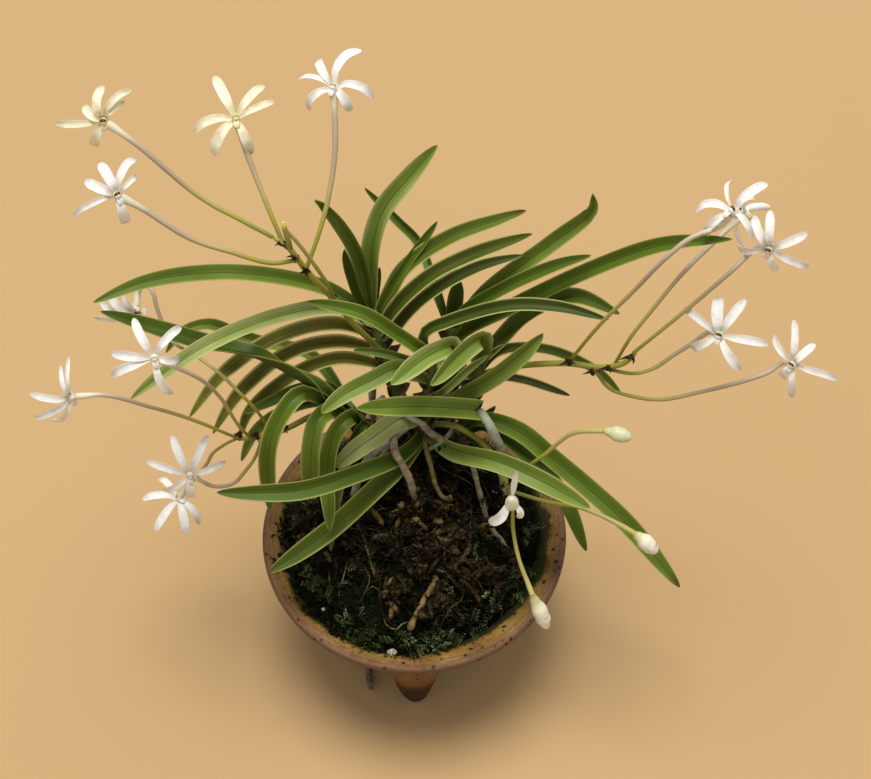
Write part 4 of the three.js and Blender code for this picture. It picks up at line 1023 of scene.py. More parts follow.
leafRows = {  # width in mm, then how yellow, how light (partly painted light and shade), how brown at the tip, turns, path
    "fan_main": [
        (6.2, (0.15, 0.6, 0.1), [upright, (-0.5, -0.8, 0.4)], [(-13, 32, 141), (-12, 40, 165),
         (-8, 45, 177), (0, 49, 187), (8, 52, 197)]),
        (4.8, (0.0, 0.48, 0), [upright], [(-13, 32, 142), (-16, 35, 166), (-21, 36, 180),
         (-26, 35, 190), (-28, 34.6, 192)]),
        (3.4, (0.05, 0.2, 0.2), [upright], [(-14, 31, 142), (-17, 31, 154), (-20, 30, 175)]),
        (3, (0.1, 0.35, 0.1), [upright], [(-11, 32, 143), (-4, 35, 157), (4, 40, 168), (8, 42, 174)]),
        (2.4, (0.2, 0.4, 0.3), [upright], [(-12, 33, 142), (-11, 35, 151), (-10, 36, 159)]),
        (5, (0.45, 0.35, 0.8), [toLight], [(-12, 30, 139), (-7, 33, 150), (-2, 36, 159), (12, 40, 169),
         (27, 42, 175), (35, 43, 178)]),
        (4.8, (0.6, 0.2, 0.1), [toLight], [(-11, 28, 135), (-5, 30, 147), (6, 33, 159), (18, 36, 165),
         (37, 38, 173)]),
        (4.2, (0.65, 0.1, 0.1), [toLight], [(-9, 26, 130), (-3, 28, 143), (6, 30, 154), (20, 32, 164),
         (34, 33, 169)]),
        (5, (0.15, 0.5, 0.1), [toLight], [(-14, 31, 143), (-28, 30, 157), (-54, 26, 169),
         (-77, 18, 175), (-93, 10, 175)]),
        (5, (0.25, 0.65, 0.1), [toLight], [(-12, 29, 139), (-24, 28, 149), (-40, 22, 153), (-59, 6, 161),
         (-73, -3, 158), (-84, -8, 151)]),
        (4.8, (1.0, 0.45, 0.1), [toLight], [(-11, 28, 134), (-25, 27, 142), (-42, 22, 142),
         (-60, 11, 136), (-70, 0, 129)]),
        (4.8, (1.05, 0.35, 0.1), [toLight], [(-10, 26, 129), (-24, 25, 135), (-39, 20, 136),
         (-55, 9, 129), (-63, -3, 124)]),
        (4.6, (0.98, 0.4, 0.1), [toLight], [(-8, 24, 123), (-24, 22, 130), (-38, 17, 128),
         (-52.5, 8, 120), (-56, 3, 113)]),
    ],
    "fan_back": [
        (5.4, (0.2, 0.5, 0.3), [toLight], [(13, 29, 136), (25, 34, 151), (43, 38, 168), (54, 38, 183),
         (54, 38, 191)]),
        (4.2, (0.15, 0.35, 0.1), [toLight], [(13, 29, 134), (17, 28, 147), (28, 29, 157), (44, 28, 170),
         (54, 27, 176)]),
        (5, (0.15, 0.35, 0), [toLight], [(12, 27, 129), (18, 27, 139), (31, 28, 149), (52, 28, 166),
         (73, 24, 184), (91, 14, 199)]),
        (3.4, (0.1, 0.4, 0.1), [upright], [(12, 29, 136), (8, 38, 146), (2, 52, 153), (-4, 56, 158),
         (-15, 62, 167)]),
        (5.2, (0.1, 0.3, 0.1), [upright], [(13, 29, 135), (14, 33, 147), (15, 36, 153)]),
    ],
    "fan_front": [
        (4.4, (0.2, 0.4, 0.2), [toLight], [(6, 15, 138), (4, 12, 147), (-4, 13, 155), (-14, 14, 164),
         (-24, 15, 167), (-31, 15, 169)]),
        (6.4, (0.15, 0.62, 0), [(-0.2, -0.7, 0.7)], [(7, 15, 137), (13, 16, 145), (6, 10, 149),
         (-6, -2, 150)]),
        (4.2, (0.55, 0.15, 0.2), [toLight], [(5, 17, 136), (4, 20, 146), (12, 22, 150), (30, 22, 158),
         (45, 19, 161), (60, 15, 160)]),
        (6.6, (0.0, 0.55, 0.4), [facingOut], [(5, 14, 113), (10, 13.8, 118), (17, 12.3, 126),
         (28, 12, 138), (40.7, 16, 151.4)]),
        (2.8, (0.1, 0.6, 0), [facingOut], [(5, 14, 121), (10, 9, 131), (18, 12, 139), (24, 14, 143)]),
        (5.8, (0.15, 0.55, 0), [(-0.2, -0.7, 0.7)], [(5, 14, 131), (-4, 10, 142), (-11, 6, 142),
         (-21, 1, 140), (-28, -3, 136)]),
        (2.9, (0.1, 0.5, 0.1), [(-0.2, -0.7, 0.7)], [(5, 15, 135), (0, 12, 143), (-10, 13, 146),
         (-18, 13, 147)]),
        (6.8, (0.2, 0.8, 0), [(-0.3, -0.7, 0.6)], [(4, 12, 112), (-4, 6, 119), (-12, 2, 115),
         (-19, -2, 112), (-25, -5, 107)]),
        (6.2, (0.2, 0.3, 0.05), [(0, -0.8, 0.5), toLight], [(3.5, 12, 103), (-3, 3, 104.5),
         (-20, -9, 109), (-35, -17, 113), (-51, -20, 116), (-61, -21, 118)]),
        (6.8, (0.1, 0.55, 0.05), [(0, -0.8, 0.5), toLight], [(4, 12, 103.5), (12, 5, 103.5),
         (28, -4, 109), (41, -11, 109), (57, -19, 105)]),
        (6.8, (0.35, 0.35, 0.1), [(0, -0.8, 0.5), toLight], [(3, 11, 101), (-4, 2, 99.5), (-14, -7, 95),
         (-26, -14, 85), (-38, -21, 79), (-48, -27, 76)]),
    ],
    "fan_right": [
        (5.4, (0.45, 0.35, 0.1), [toLight], [(20, 19, 129), (28, 25, 136), (36, 28.5, 145),
         (50, 25.5, 158), (64, 19.5, 157)]),
        (3.4, (0.75, 0.3, 0.2), [toLight], [(20, 18, 125), (28, 22, 134), (43, 22, 135), (60, 18, 128),
         (68, 14, 121)]),
        (3, (0.9, 0.1, 0.1), [toLight], [(19, 17, 117), (25, 20, 122), (35, 18, 124), (51, 13, 122)]),
        (6.6, (0.05, 0.6, 0), [(0, -0.9, 0.4)], [(21, 19, 130), (22, 18, 146), (21, 15, 151),
         (14, 8, 151), (6, -3, 151)]),
        (6.6, (0.15, 0.5, 0), [(0.9, -0.3, 0.3), toLight, toLight], [(18, 14, 113), (20.5, 8, 121),
         (17, 5.5, 125.5), (3, 4, 129), (-17, -2, 137)]),
        (6.4, (0.05, 0.45, 0.9), [toLight], [(18, 14, 104), (24, 10, 112.5), (35, 6, 111), (45, 1, 104),
         (58, -8, 98), (71, -17, 90), (89, -31, 73)]),
        (5.2, (0.05, 0.35, 0.3), [toLight], [(17, 14, 99), (25, 10, 109), (38, 1, 103.5), (48, -8, 98),
         (58, -20, 78)]),
        (2.4, (0.1, 0.4, 0), [facingOut], [(18, 15, 106), (23, 12, 112), (27, 12, 117)]),
    ],
    "fan_left": [
        (6, (0.1, 0.3, 0.1), [(0.2, -0.9, 0.4), (0, 0.7, 0.7), (0, -0.2, 1), (0, -0.4, 0.9)], [
         (-21, 12, 115), (-35, 10, 136), (-47, 11, 146), (-65, 17, 145), (-79, 21, 147), (-96, 22, 155)]),
        (4.4, (0.5, 0.5, 0.2), [toLight], [(-19, 13, 111), (-34, 32, 118), (-50, 35, 121),
         (-57, 34, 126), (-66, 32, 135), (-74, 29, 135), (-80, 25, 129)]),
        (4, (0.3, 0.55, 0.1), [toLight], [(-19, 12, 110), (-30, 14, 117), (-43, 8, 119), (-51, 4, 114),
         (-56, -2, 106)]),
        (3.6, (0.1, 0.35, 0.1), [toLight], [(-20, 13, 113), (-27, 16, 122), (-36, 13, 126),
         (-45, 8, 126), (-53, 2, 128)]),
        (5.8, (0.3, 0.42, 0.05), [(-0.4, -0.7, 0.6), facingOut], [(-21, 12, 114), (-34, 8, 132),
         (-41, 0, 130), (-45, -6, 122), (-47, -13, 93)]),
        (6.2, (0.15, 0.45, 0), [(-0.2, -0.8, 0.6), facingOut], [(-20, 11, 112), (-26, 9, 121),
         (-30, 4, 122), (-32, -1, 117), (-33, -6, 107), (-33, -9, 93)]),
        (5.6, (0.15, 0.42, 0), [(-0.2, -0.8, 0.6), facingOut], [(-17, 11, 109), (-19, 6, 122),
         (-23, 1, 123), (-26, -2, 117), (-28, -7, 102), (-27.4, -13, 96.4), (-27.3, -19, 90)]),
        (3.4, (0.1, 0.4, 0), [facingOut], [(-15, 11, 103), (-16, 6, 117), (-20, 2, 109), (-24, -4, 97),
         (-27, -12, 83), (-28, -18, 74)]),
    ],
}

leafForm = {
    "fold": 0.56, "foldAtBase": 0.35, "claspShare": 0.25, "claspWidth": 0.62,
    "keel": 0.72, "tipStarts": 0.62, "marginThickness": 0.00028, "steps": 40,
}


def leafShape(width):
    def shape(t):
        clasp = leafForm["claspWidth"] + (1 - leafForm["claspWidth"]) * ease(0, leafForm["claspShare"], t)
        tail = max(0.0, (t - leafForm["tipStarts"]) / (1 - leafForm["tipStarts"]))
        point = max(0.0, 1 - tail ** 2.5) ** 0.6
        half = max(0.1, width / 2 * clasp * point)
        rise = half * (leafForm["fold"] + leafForm["foldAtBase"] * (1 - t) ** 2)
        return half, rise, leafForm["keel"] * (0.35 + 0.65 * point)
    return shape


# leaf cuticle of a wind orchid: waxy and satin, with faint parallel veins 0.3 mm apart; older leaves
# turn golden and their tips brown. Painted light and shade on it: a dark line down the channel that is
# partly painted shade in the crease, pale margins that are partly painted highlight, undersides that are
# partly painted shade, and a lightness per leaf that is partly painted light and shade
def leafFinish():
    material, add, place = newFinish("waxyLeafCuticle")
    strip = add("SeparateXYZ", {0: add("UVMap", uv_map="blade")})
    tone = add("Attribute", attribute_name="tone").outputs["Vector"]
    tone = add("SeparateXYZ", {0: tone})
    yellow, light, brown = tone.outputs["X"], tone.outputs["Y"], tone.outputs["Z"]
    under = add("Attribute", attribute_name="under").outputs["Fac"]
    signed = add("Math", {0: strip.outputs["X"], 1: 2.0, 2: -1.0}, operation="MULTIPLY_ADD")
    across = add("Math", {0: signed}, operation="ABSOLUTE")
    along = strip.outputs["Y"]
    cloud = add("TexNoise", {"Vector": place, "Scale": 45.0, "Detail": 3.0})
    veinX = add("Math", {0: strip.outputs["X"], 1: 21.0}, operation="MULTIPLY")
    veinY = add("Math", {0: along, 1: 2.2}, operation="MULTIPLY")
    veinPlace = add("CombineXYZ", {"X": veinX, "Y": veinY, "Z": light})
    veins = add("TexNoise", {"Vector": veinPlace, "Scale": 1.0, "Detail": 2.0})
    # each leaf's listed lightness is partly its own tone and partly painted light and shade for how lit it
    # stands
    lightness = add("Math", {0: cloud, 1: 0.3, 2: light}, operation="MULTIPLY_ADD")
    lightness = add("Math", {0: veins, 1: 0.24, 2: lightness}, operation="MULTIPLY_ADD")
    # painted highlight: the blade grows lighter towards both margins, more on lighter leaves
    paintedEdgeHighlight = add("Math", {0: across, 1: across}, operation="MULTIPLY")
    paintedEdgeHighlight = add("Math", {0: paintedEdgeHighlight, 1: light}, operation="MULTIPLY")
    lightness = add("Math", {0: paintedEdgeHighlight, 1: 0.3, 2: lightness}, operation="MULTIPLY_ADD")
    green = add("ValToRGB", {0: lightness}, stops=[(0.35, "#2c400a"), (0.7, "#556c17"), (0.92, "#768b36"),
                                                   (1.0, "#9ba566")])
    ageing = add("Math", {0: cloud, 1: 0.5, 2: 0.55}, operation="MULTIPLY_ADD")
    ageing = add("Math", {0: ageing, 1: yellow}, operation="MULTIPLY")
    ageing = add("Math", {0: ageing, 1: yellow}, operation="MULTIPLY")
    golden = add("ValToRGB", {0: lightness}, stops=[(0.35, "#41380e"), (0.75, "#787024"),
                                                    (1.0, "#b5ac4c")])
    aged = add("Mix", {"Factor": ageing, "A": green, "B": golden}, data_type="RGBA")
    # pale margins, wider and paler on yellow leaves: partly the leaf's own edge colour, partly painted
    # highlight where the edges catch the light
    marginStart = add("Math", {0: yellow, 1: -0.2, 2: 0.82}, operation="MULTIPLY_ADD")
    margin = add("MapRange", {"Value": across, "From Min": marginStart, "From Max": 0.95},
                 interpolation_type="SMOOTHSTEP")
    marginShare = add("Math", {0: yellow, 1: 0.9, 2: 0.22}, operation="MULTIPLY_ADD")
    margin = add("Math", {0: margin, 1: marginShare}, operation="MULTIPLY")
    marginPaleAndLit = add("Mix", {"Factor": margin, "A": aged, "B": "#d2ce85"}, data_type="RGBA")
    # the dark line down the channel: partly the leaf's own colour, partly painted shade in the crease of the
    # fold
    middle = add("MapRange", {"Value": across, "From Min": 0.13, "From Max": 0.0, "To Max": 0.6},
                 interpolation_type="SMOOTHSTEP")
    creaseLineAndShade = add("Mix", {"Factor": middle, "A": marginPaleAndLit, "B": "#243a10"}, data_type="RGBA")
    # undersides darker: partly their own duller green, partly painted shade
    undersideDullAndShade = add("Math", {0: under, 1: 0.6}, operation="MULTIPLY")
    undersideDullAndShaded = add("Mix", {"Factor": undersideDullAndShade, "A": creaseLineAndShade, "B": "#32460f"}, data_type="RGBA")
    uneven = add("Math", {0: cloud, 1: 0.05, 2: along}, operation="MULTIPLY_ADD")
    withering = add("MapRange", {"Value": uneven, "From Min": 0.955, "From Max": 1.02},
                    interpolation_type="SMOOTHSTEP")
    tipFactor = add("Math", {0: withering, 1: brown}, operation="MULTIPLY")
    tipped = add("Mix", {"Factor": tipFactor, "A": undersideDullAndShaded, "B": "#5b4426"}, data_type="RGBA")
    gloss = add("MapRange", {"Value": cloud, "To Min": 0.36, "To Max": 0.55})
    bumps = add("Bump", {"Height": veins, "Strength": 0.25, "Distance": 0.00025})
    return endFinish(material, {"Base Color": tipped, "Roughness": gloss, "IOR": 1.45,
                                "Specular IOR Level": 0.3, "Subsurface Weight": 0.05,
                                "Subsurface Scale": 0.0008, "Subsurface Radius": (0.5, 1.0, 0.25),
                                "Normal": bumps})


# dry sheath: dead leaf base, thin as paper, straw to umber with long fibres
def sheathFinish():
    material, add, place = newFinish("dryLeafSheath")
    strip = add("SeparateXYZ", {0: add("UVMap", uv_map="blade")})
    fibreX = add("Math", {0: strip.outputs["X"], 1: 24.0}, operation="MULTIPLY")
    fibrePlace = add("CombineXYZ", {"X": fibreX, "Y": strip.outputs["Y"]})
    fibres = add("TexNoise", {"Vector": fibrePlace, "Scale": 1.0, "Detail": 4.0})
    blotch = add("TexNoise", {"Vector": place, "Scale": 240.0, "Detail": 3.0})
    value = add("Math", {0: fibres, 1: 0.5, 2: blotch}, operation="MULTIPLY_ADD")
    colour = add("ValToRGB", {0: value}, stops=[(0.45, "#2b2014"), (0.7, "#5a4529"), (0.95, "#8f7a50")])
    bumps = add("Bump", {"Height": fibres, "Strength": 0.6, "Distance": 0.0005})
    return endFinish(material, {"Base Color": colour, "Roughness": 0.8, "IOR": 1.45, "Normal": bumps})


# living shoot between the leaf bases: dull olive skin, fibrous
def shootFinish():
    material, add, place = newFinish("fibrousShoot")
    share = add("Attribute", attribute_name="share").outputs["Fac"]
    mottle = add("TexNoise", {"Vector": place, "Scale": 380.0, "Detail": 4.0})
    value = add("Math", {0: mottle, 1: 0.35, 2: share}, operation="MULTIPLY_ADD")
    colour = add("ValToRGB", {0: value}, stops=[(0.1, "#2e2517"), (0.55, "#4b4226"), (0.85, "#55632f"),
                                                (1.0, "#5c7036")])
    bumps = add("Bump", {"Height": mottle, "Strength": 0.5, "Distance": 0.0005})
    return endFinish(material, {"Base Color": colour, "Roughness": 0.75, "IOR": 1.45, "Normal": bumps})


sheathForm = {"count": 11, "first": 0.3, "span": 0.6, "tipStarts": 0.35, "cup": 0.75, "keel": 0.25}


def sheathShape(width):
    def shape(t):
        tail = max(0, (t - sheathForm["tipStarts"]) / (1 - sheathForm["tipStarts"]))
        half = width / 2 * (0.55 + 0.45 * ease(0, 0.3, t)) * max(0.02, 1 - tail ** 1.6)
        return max(0.1, half), half * sheathForm["cup"], sheathForm["keel"]
    return shape


def makeStems():
    cuticle, dry, skin = leafFinish(), sheathFinish(), shootFinish()
    draw = random.Random(31)
    for name, (path, radii) in shoots.items():
        rows = [(points, turns, tone, leafForm["steps"], leafShape(width))
                for width, tone, turns, points in leafRows[name]]
        leaves = grow(bladeSource("leaves_" + name, rows), blades, cuticle,
                      FoldSharpness=1.1, MarginThickness=leafForm["marginThickness"], RippleHeight=0.0006,
                      Seed=len(name))
        declare(leaves, "leaf_green", name)
        rows = []
        for i in range(sheathForm["count"]):
            share = sheathForm["first"] + sheathForm["span"] * i / (sheathForm["count"] - 1)
            foothold = alongPath(path, [share])[0][0][0]
            rank = 1 if i % 2 else -1
            outward = Vector((rank * draw.uniform(2.6, 4.6), draw.uniform(-2.4, 0.6), draw.uniform(5, 8.5)))
            root = foothold + Vector((rank * 0.8, -0.4, 0))
            rows.append(([root, root + outward * 0.5 + Vector((rank * 0.9, 0, 0)), root + outward],
                         [(-rank, -0.5, 0.5)], plain, 12, sheathShape(draw.uniform(3.8, 5.6))))
        sheaths = grow(bladeSource("sheaths_" + name, rows), blades, dry, MarginThickness=0.0001,
                       RippleHeight=0.0014, RippleLength=0.004, Seed=7)
        declare(sheaths, "root_brown", name)
        girths = [(0, radii[0]), (1, radii[1] * 0.9)]
        shoot = grow(tubeSource("shoot_" + name, [(path, girths, plain)]), shootsTree, skin, Sides=18,
                     WrinkleDepth=0.0012, WrinkleSize=0.003)
        declare(shoot, "leaf_green", name)


makeStems()
print("five leafy stems stand in the moss")


rootRows = {  # radius and path
    "root_right": (1.6, [(20.5, 11, 116), (22.5, 7, 120), (24.3, 4.5, 119.5), (26.8, 3, 113),
            (29.4, 2.5, 104), (31, 2.5, 75), (31.5, 2.5, 68.5)]),
    "root_left": (1.5, [(-1, 9.6, 110.8), (-4, 8, 109.3), (-8, 5.5, 106.8), (-13.2, 3.5, 102.3),
            (-17, 2, 94), (-20, 1.2, 81.3), (-21, 1, 75.6)]),
    "root_front": (1.3, [(2, 9.5, 117), (-3.6, 7.5, 115.5), (-6, 3, 114), (-5.9, -0.5, 111),
            (-3.4, -3.5, 106), (-1.3, -4, 99), (0.4, -4, 87), (1, -4, 82.1)]),
    "root_middle": (1.2, [(2, 8, 114.5), (5.7, 6, 111), (8.3, 6.2, 107.7), (10.5, 7, 104.2)]),
    "root_brown": (0.9, [(17, 9, 97), (20, 3, 94), (22, -2, 88), (25, -6, 75.6), (27, -9, 72.6),
            (30, -11, 69.2), (33, -13, 63.3)]),
    "root_behind": (1.5, [(13.5, 29, 120), (15, 33, 116), (17, 36, 104), (18, 37, 66.1),
            (18, 37.5, 57.8)]),
    "root_far_left": (1.4, [(-9, 27, 118), (-12, 30, 113), (-14, 33, 100), (-15, 34, 71.7),
            (-15, 34.5, 63.5)]),
    "old_spike": (0.8, [(4.2, 10.5, 104), (4, 5, 105.7), (6, 0, 99), (7.6, -4, 94), (10, -6.5, 90.5),
            (12.5, -8.5, 93), (12.2, -8.8, 95.5)]),
}

drainRootPath = [(0, 0, 15), (-1.5, -3, 8), (-6, -9, 2.9), (-14, -19, 2.3), (-17.3, -28, 2.3),
                 (-16.9, -33, 2.3), (-16.4, -37, 2.3)]


# velamen of a living aerial root: spongy, silvery grey with a green cast, finely wrinkled, matt
def velamenFinish(name, dark, middle, light, scuffs):
    material, add, place = newFinish(name)
    reach = add("Attribute", attribute_name="reach").outputs["Fac"]
    mottle = add("TexNoise", {"Vector": place, "Scale": 230.0, "Detail": 5.0, "Roughness": 0.65})
    ringNoise = add("TexNoise", {"W": reach, "Scale": 700.0, "Detail": 2.0}, noise_dimensions="1D")
    value = add("Math", {0: ringNoise, 1: 0.3, 2: mottle}, operation="MULTIPLY_ADD")
    colour = add("ValToRGB", {0: value}, stops=[(0.45, dark), (0.62, middle), (0.85, light)])
    patch = add("TexNoise", {"Vector": place, "Scale": 120.0, "Detail": 6.0, "Roughness": 0.75})
    scuff = add("MapRange", {"Value": patch, "From Min": 0.58, "From Max": 0.7, "To Max": scuffs})
    worn = add("Mix", {"Factor": scuff, "A": colour, "B": "#5b4a33"}, data_type="RGBA")
    bumps = add("Bump", {"Height": value, "Strength": 0.5, "Distance": 0.0004})
    return endFinish(material, {"Base Color": worn, "Roughness": 0.78, "IOR": 1.4, "Normal": bumps})


crownLoops = [  # short pale roots that loop round the crown: path and radius
    ([(2, 13, 112), (-2, 9, 117), (-1, 6, 120), (3, 5, 118), (4, 8, 113)], 0.85),
    ([(6, 14, 116), (2, 7, 121), (-2, 7, 123), (-4, 9, 120)], 0.9),
    ([(-10, 22, 108), (-14, 14, 113), (-9, 10, 115), (-4, 11, 113)], 0.8),
    ([(14, 15, 100), (10, 8, 103), (6, 5, 103), (4, 7, 99)], 0.8),
    ([(0, 14, 104), (-5, 9, 104), (-9, 7, 99), (-12, 6, 92), (-14, 5, 84)], 0.95),
]


def makeRoots():
    grey = velamenFinish("silveryVelamen", "#7f8670", "#9ba28c", "#bcc1b0", 0.4)
    brown = velamenFinish("brownedVelamen", "#5a513d", "#8b8167", "#b3a98f", 0.95)
    spike = velamenFinish("driedSpike", "#453f20", "#686034", "#8b7d49", 0.9)
    umber = velamenFinish("umberVelamen", "#40382a", "#6e6450", "#a09a84", 0.6)
    darker = {"root_front": brown, "root_middle": brown, "root_brown": brown, "old_spike": spike}
    for name, (radius, points) in rootRows.items():
        girths = [(0, radius * 0.92), (0.3, radius), (0.7, radius * 0.95), (0.97, radius * 0.85),
                  (1, radius * 0.4)]
        root = grow(tubeSource("velamen_" + name, [(points, girths, plain)], 0.8), shootsTree,
                    darker.get(name, grey), Sides=16, WrinkleDepth=0.0007, WrinkleSize=0.0035,
                    RingDepth=0.00004, RingSpacing=0.0016)
        declare(root, "root_brown" if name in darker else "root_grey", name)
    girths = [(0, 1.5), (0.5, 1.4), (0.93, 1.3), (1, 0.7)]
    drain = grow(tubeSource("velamen_drain_root", [(drainRootPath, girths, plain)], 0.5), shootsTree,
                 umber, Sides=18, WrinkleDepth=0.0004, WrinkleSize=0.002, RingDepth=0.00022,
                 RingSpacing=0.0019)
    declare(drain, "root_brown", "drain_root")
    rows = [(points, [(0, girth), (0.8, girth), (0.95, girth * 0.9), (1, 0.15)], plain)
            for points, girth in crownLoops]
    declare(grow(tubeSource("crownRoots", rows, 0.8), shootsTree, grey, Sides=12, WrinkleDepth=0.0004,
                 WrinkleSize=0.002), "root_grey")


makeRoots()
print("roots are laid")


bloomRows = {  # middle, the way it faces, then angle, reach, width, bow and turn of each segment
    "bloom_upper_1": ((-86, 41, 218.4), (0.09, -0.91, 0.39), [
        (33, 7.5, 1.6, 1.2, 0), (39, 11, 2, 2.6, 5), (84, 9, 2.5, 1.8, 0), (144, 6.5, 2.7, 0, -15),
        (183, 14, 2.2, -0.3, -15), (246, 10, 2.9, -0.8, -10)]),
    "bloom_upper_2": ((-83, 26, 204), (0.42, -0.71, 0.57), [
        (15, 8.5, 1.7, 1, 0), (36, 12, 2.3, 2.6, 15), (93, 9.5, 3, 0, 10), (135, 9, 3, 0, 0),
        (186, 13.5, 1.9, -1.6, 0), (270, 9.5, 3, -0.4, -10)]),
    "bloom_upper_3": ((-50, 48, 212), (0.11, -0.6, 0.79), [
        (18, 12.5, 2, 0.3, 0), (42, 13, 2.5, 1, 0), (108, 14, 3.1, 0, 0), (189, 12.5, 2.7, -1.8, 0),
        (231, 12, 3.2, -1.5, 0), (285, 10.5, 3, 0.3, 0)]),
    "bloom_upper_4": ((-22, 58, 214.5), (-0.21, -0.56, 0.8), [
        (3, 11, 2.5, 2.2, 0), (72, 13.5, 2.7, 2.6, 0), (138, 11, 2.6, 0.2, 0),
        (180, 12, 1.7, -1.5, -30), (228, 10.5, 2.6, -1.3, 0), (318, 7.5, 2.9, 1, 0)]),
    "bloom_left_1": ((-73, -10, 175), (0.21, -0.78, 0.59), [
        (33, 11, 2.6, 1.8, 0), (105, 12.5, 2.7, 0.4, 0), (165, 12, 2.8, -0.3, -5),
        (195, 13.5, 2.8, -1.2, -10), (282, 13, 2.6, -1.4, 0), (339, 7.5, 2.7, 0, 0)]),
    "bloom_left_2": ((-88, 32, 143), (0.3, -0.92, -0.24), [
        (112, 8, 2, 0, 10), (135, 10.5, 2.8, 0, -40), (163, 11, 2.5, 0, -40), (193, 14, 2.1, 0, -25),
        (217, 9, 2.3, 0, -45), (290, 7, 2.4, 0, 0)]),
    "bloom_left_3": ((-99, -14, 161), (0.62, -0.78, 0.13), [
        (66, 11.5, 1.4, 2.6, 10), (81, 9.5, 1.4, 2.2, 0), (144, 12.5, 2.3, 0, -25),
        (192, 12, 2.1, -0.5, -35), (231, 11.5, 1.7, 0, -25)]),
    "bloom_left_4": ((-72, -8, 107), (0.09, -0.83, 0.55), [
        (12, 12, 2.6, 0.4, 0), (60, 14.5, 2.6, 0.6, 0), (108, 14, 2.8, 0, 0),
        (159, 14.5, 2.7, -0.8, -5), (213, 11.5, 2.5, 0, 0), (264, 10, 3, 0, 5)]),
    "bloom_left_5": ((-81, 2, 75), (0.16, -0.15, 0.98), [
        (84, 11.5, 2.5, 0, 0), (135, 12.5, 2.8, -0.7, 0), (192, 13.5, 2.8, -0.4, 0),
        (240, 12.5, 3.1, 0, -5), (270, 10.5, 2.6, 0.5, 0)]),
    "bloom_right_1": ((91, 19, 205), (-0.52, -0.28, 0.81), [
        (93, 12, 2.8, 0.3, -25), (153, 11.5, 1.4, 0.6, 10), (222, 12.5, 2.6, -2, 0),
        (258, 10.5, 2.5, 0, 20), (354, 8.5, 2, 1.4, 0)]),
    "bloom_right_2": ((99, 34, 187), (-0.6, 0.79, 0.1), [
        (33, 12, 2.6, 0, -35), (78, 12, 2.3, 0, -5), (174, 7.5, 2.5, 1.5, 45), (276, 11, 1.6, 0.4, 5)]),
    "bloom_right_3": ((105, 22, 185), (-0.41, -0.88, 0.23), [
        (36, 11, 2.7, 1, 15), (108, 10.5, 2.7, -0.8, -15), (138, 10, 2.6, -0.8, -25),
        (210, 11, 2.3, -0.5, -5), (300, 9.5, 2.4, 0, 15), (345, 13, 2.4, 1, 20)]),
    "bloom_right_4": ((92, 6, 164), (-0.36, -0.71, 0.61), [
        (9, 14.5, 2.7, 0.7, 5), (75, 13, 2.9, 0.2, 0), (114, 11, 3.6, 0, -10),
        (165, 13.5, 2.4, -0.8, 0), (228, 10.5, 2.9, 0, 0), (318, 12.5, 2.9, 0, 15)]),
    "bloom_right_5": ((116, 4, 152), (-0.62, -0.67, 0.4), [
        (12, 14, 2.4, 1.2, 5), (75, 8.5, 2.5, 0, 5), (120, 13.5, 2.3, -1.6, -10),
        (165, 11, 2.3, -0.8, -10), (258, 8, 3, 0, 0), (288, 12, 2.4, 1.2, 10)]),
}
# how brown the mouth is where it isn't fully brown
paleMouths = {"bloom_left_1": 0.0, "bloom_left_3": 0.2, "bloom_left_4": 0.0, "bloom_left_5": 0.6,
              "bloom_upper_3": 0.25, "bloom_upper_4": 0.4}

budRows = {  # stalk end, nose and girth
    "bud_low": ((39.6, -34.6, 74.4), (45.2, -40.2, 60.6), 2.7),
    "bud_side": ((71.6, -24, 97.4), (79.5, -28, 91.5), 2.7),
    "bud_green": ((60, -6, 130.5), (68.5, -9, 130.5), 2.5),
    "bloom_opening": ((32.4, -14.2, 96.5), (32, -17, 107.2), 2.3),
}
openingTepals = [  # path and width
    ([(31.4, -15.5, 103), (28.8, -18.6, 98.5), (25, -18, 93.2)], 3.5),
    ([(32.2, -15, 105), (32.6, -14, 112), (33, -13, 117.3)], 2.0),
    ([(33.2, -16, 103), (35, -18, 100), (34.4, -18.2, 96.8)], 2.3),
]
petal = {
    "baseShare": 0.48, "openBy": 0.5, "tipStarts": 0.62, "cup": 0.24, "flesh": 0.28, "steps": 20,
    # a segment swells forward near its foot, then bends back: how far in mm at least, as a share of
    # its reach at most, and the square of its true length in mm
    "belly": 1.0, "leastBend": 2.5, "mostBend": 0.42, "lengthSquared": 150,
}
heartForm = {
    "lip": [(0.6, 0), (1.45, 1.2), (1.3, 2.7)],  # how far out and how far down
    "column": (-2.4, -0.6, 0.9, 1.9),  # how far out
    "columnGirths": [(0, 1.0), (0.35, 1.35), (0.7, 1.2), (0.9, 0.9), (0.97, 0.6), (1, 0.25)],
    # how far right, up and out
    "mouth": [(-0.95, 0.35, 1.2), (-0.5, 0.65, 1.5), (0.0, 0.8, 1.55), (0.5, 0.7, 1.5), (0.85, 0.3, 1.3)],
    "mouthGirths": [(0, 0.15), (0.3, 0.42), (0.55, 0.5), (0.8, 0.38), (1, 0.12)],
}
petalFlesh = {"Subsurface Weight": 0.2, "Subsurface Scale": 0.001, "Subsurface Radius": (1.0, 0.95, 0.85)}
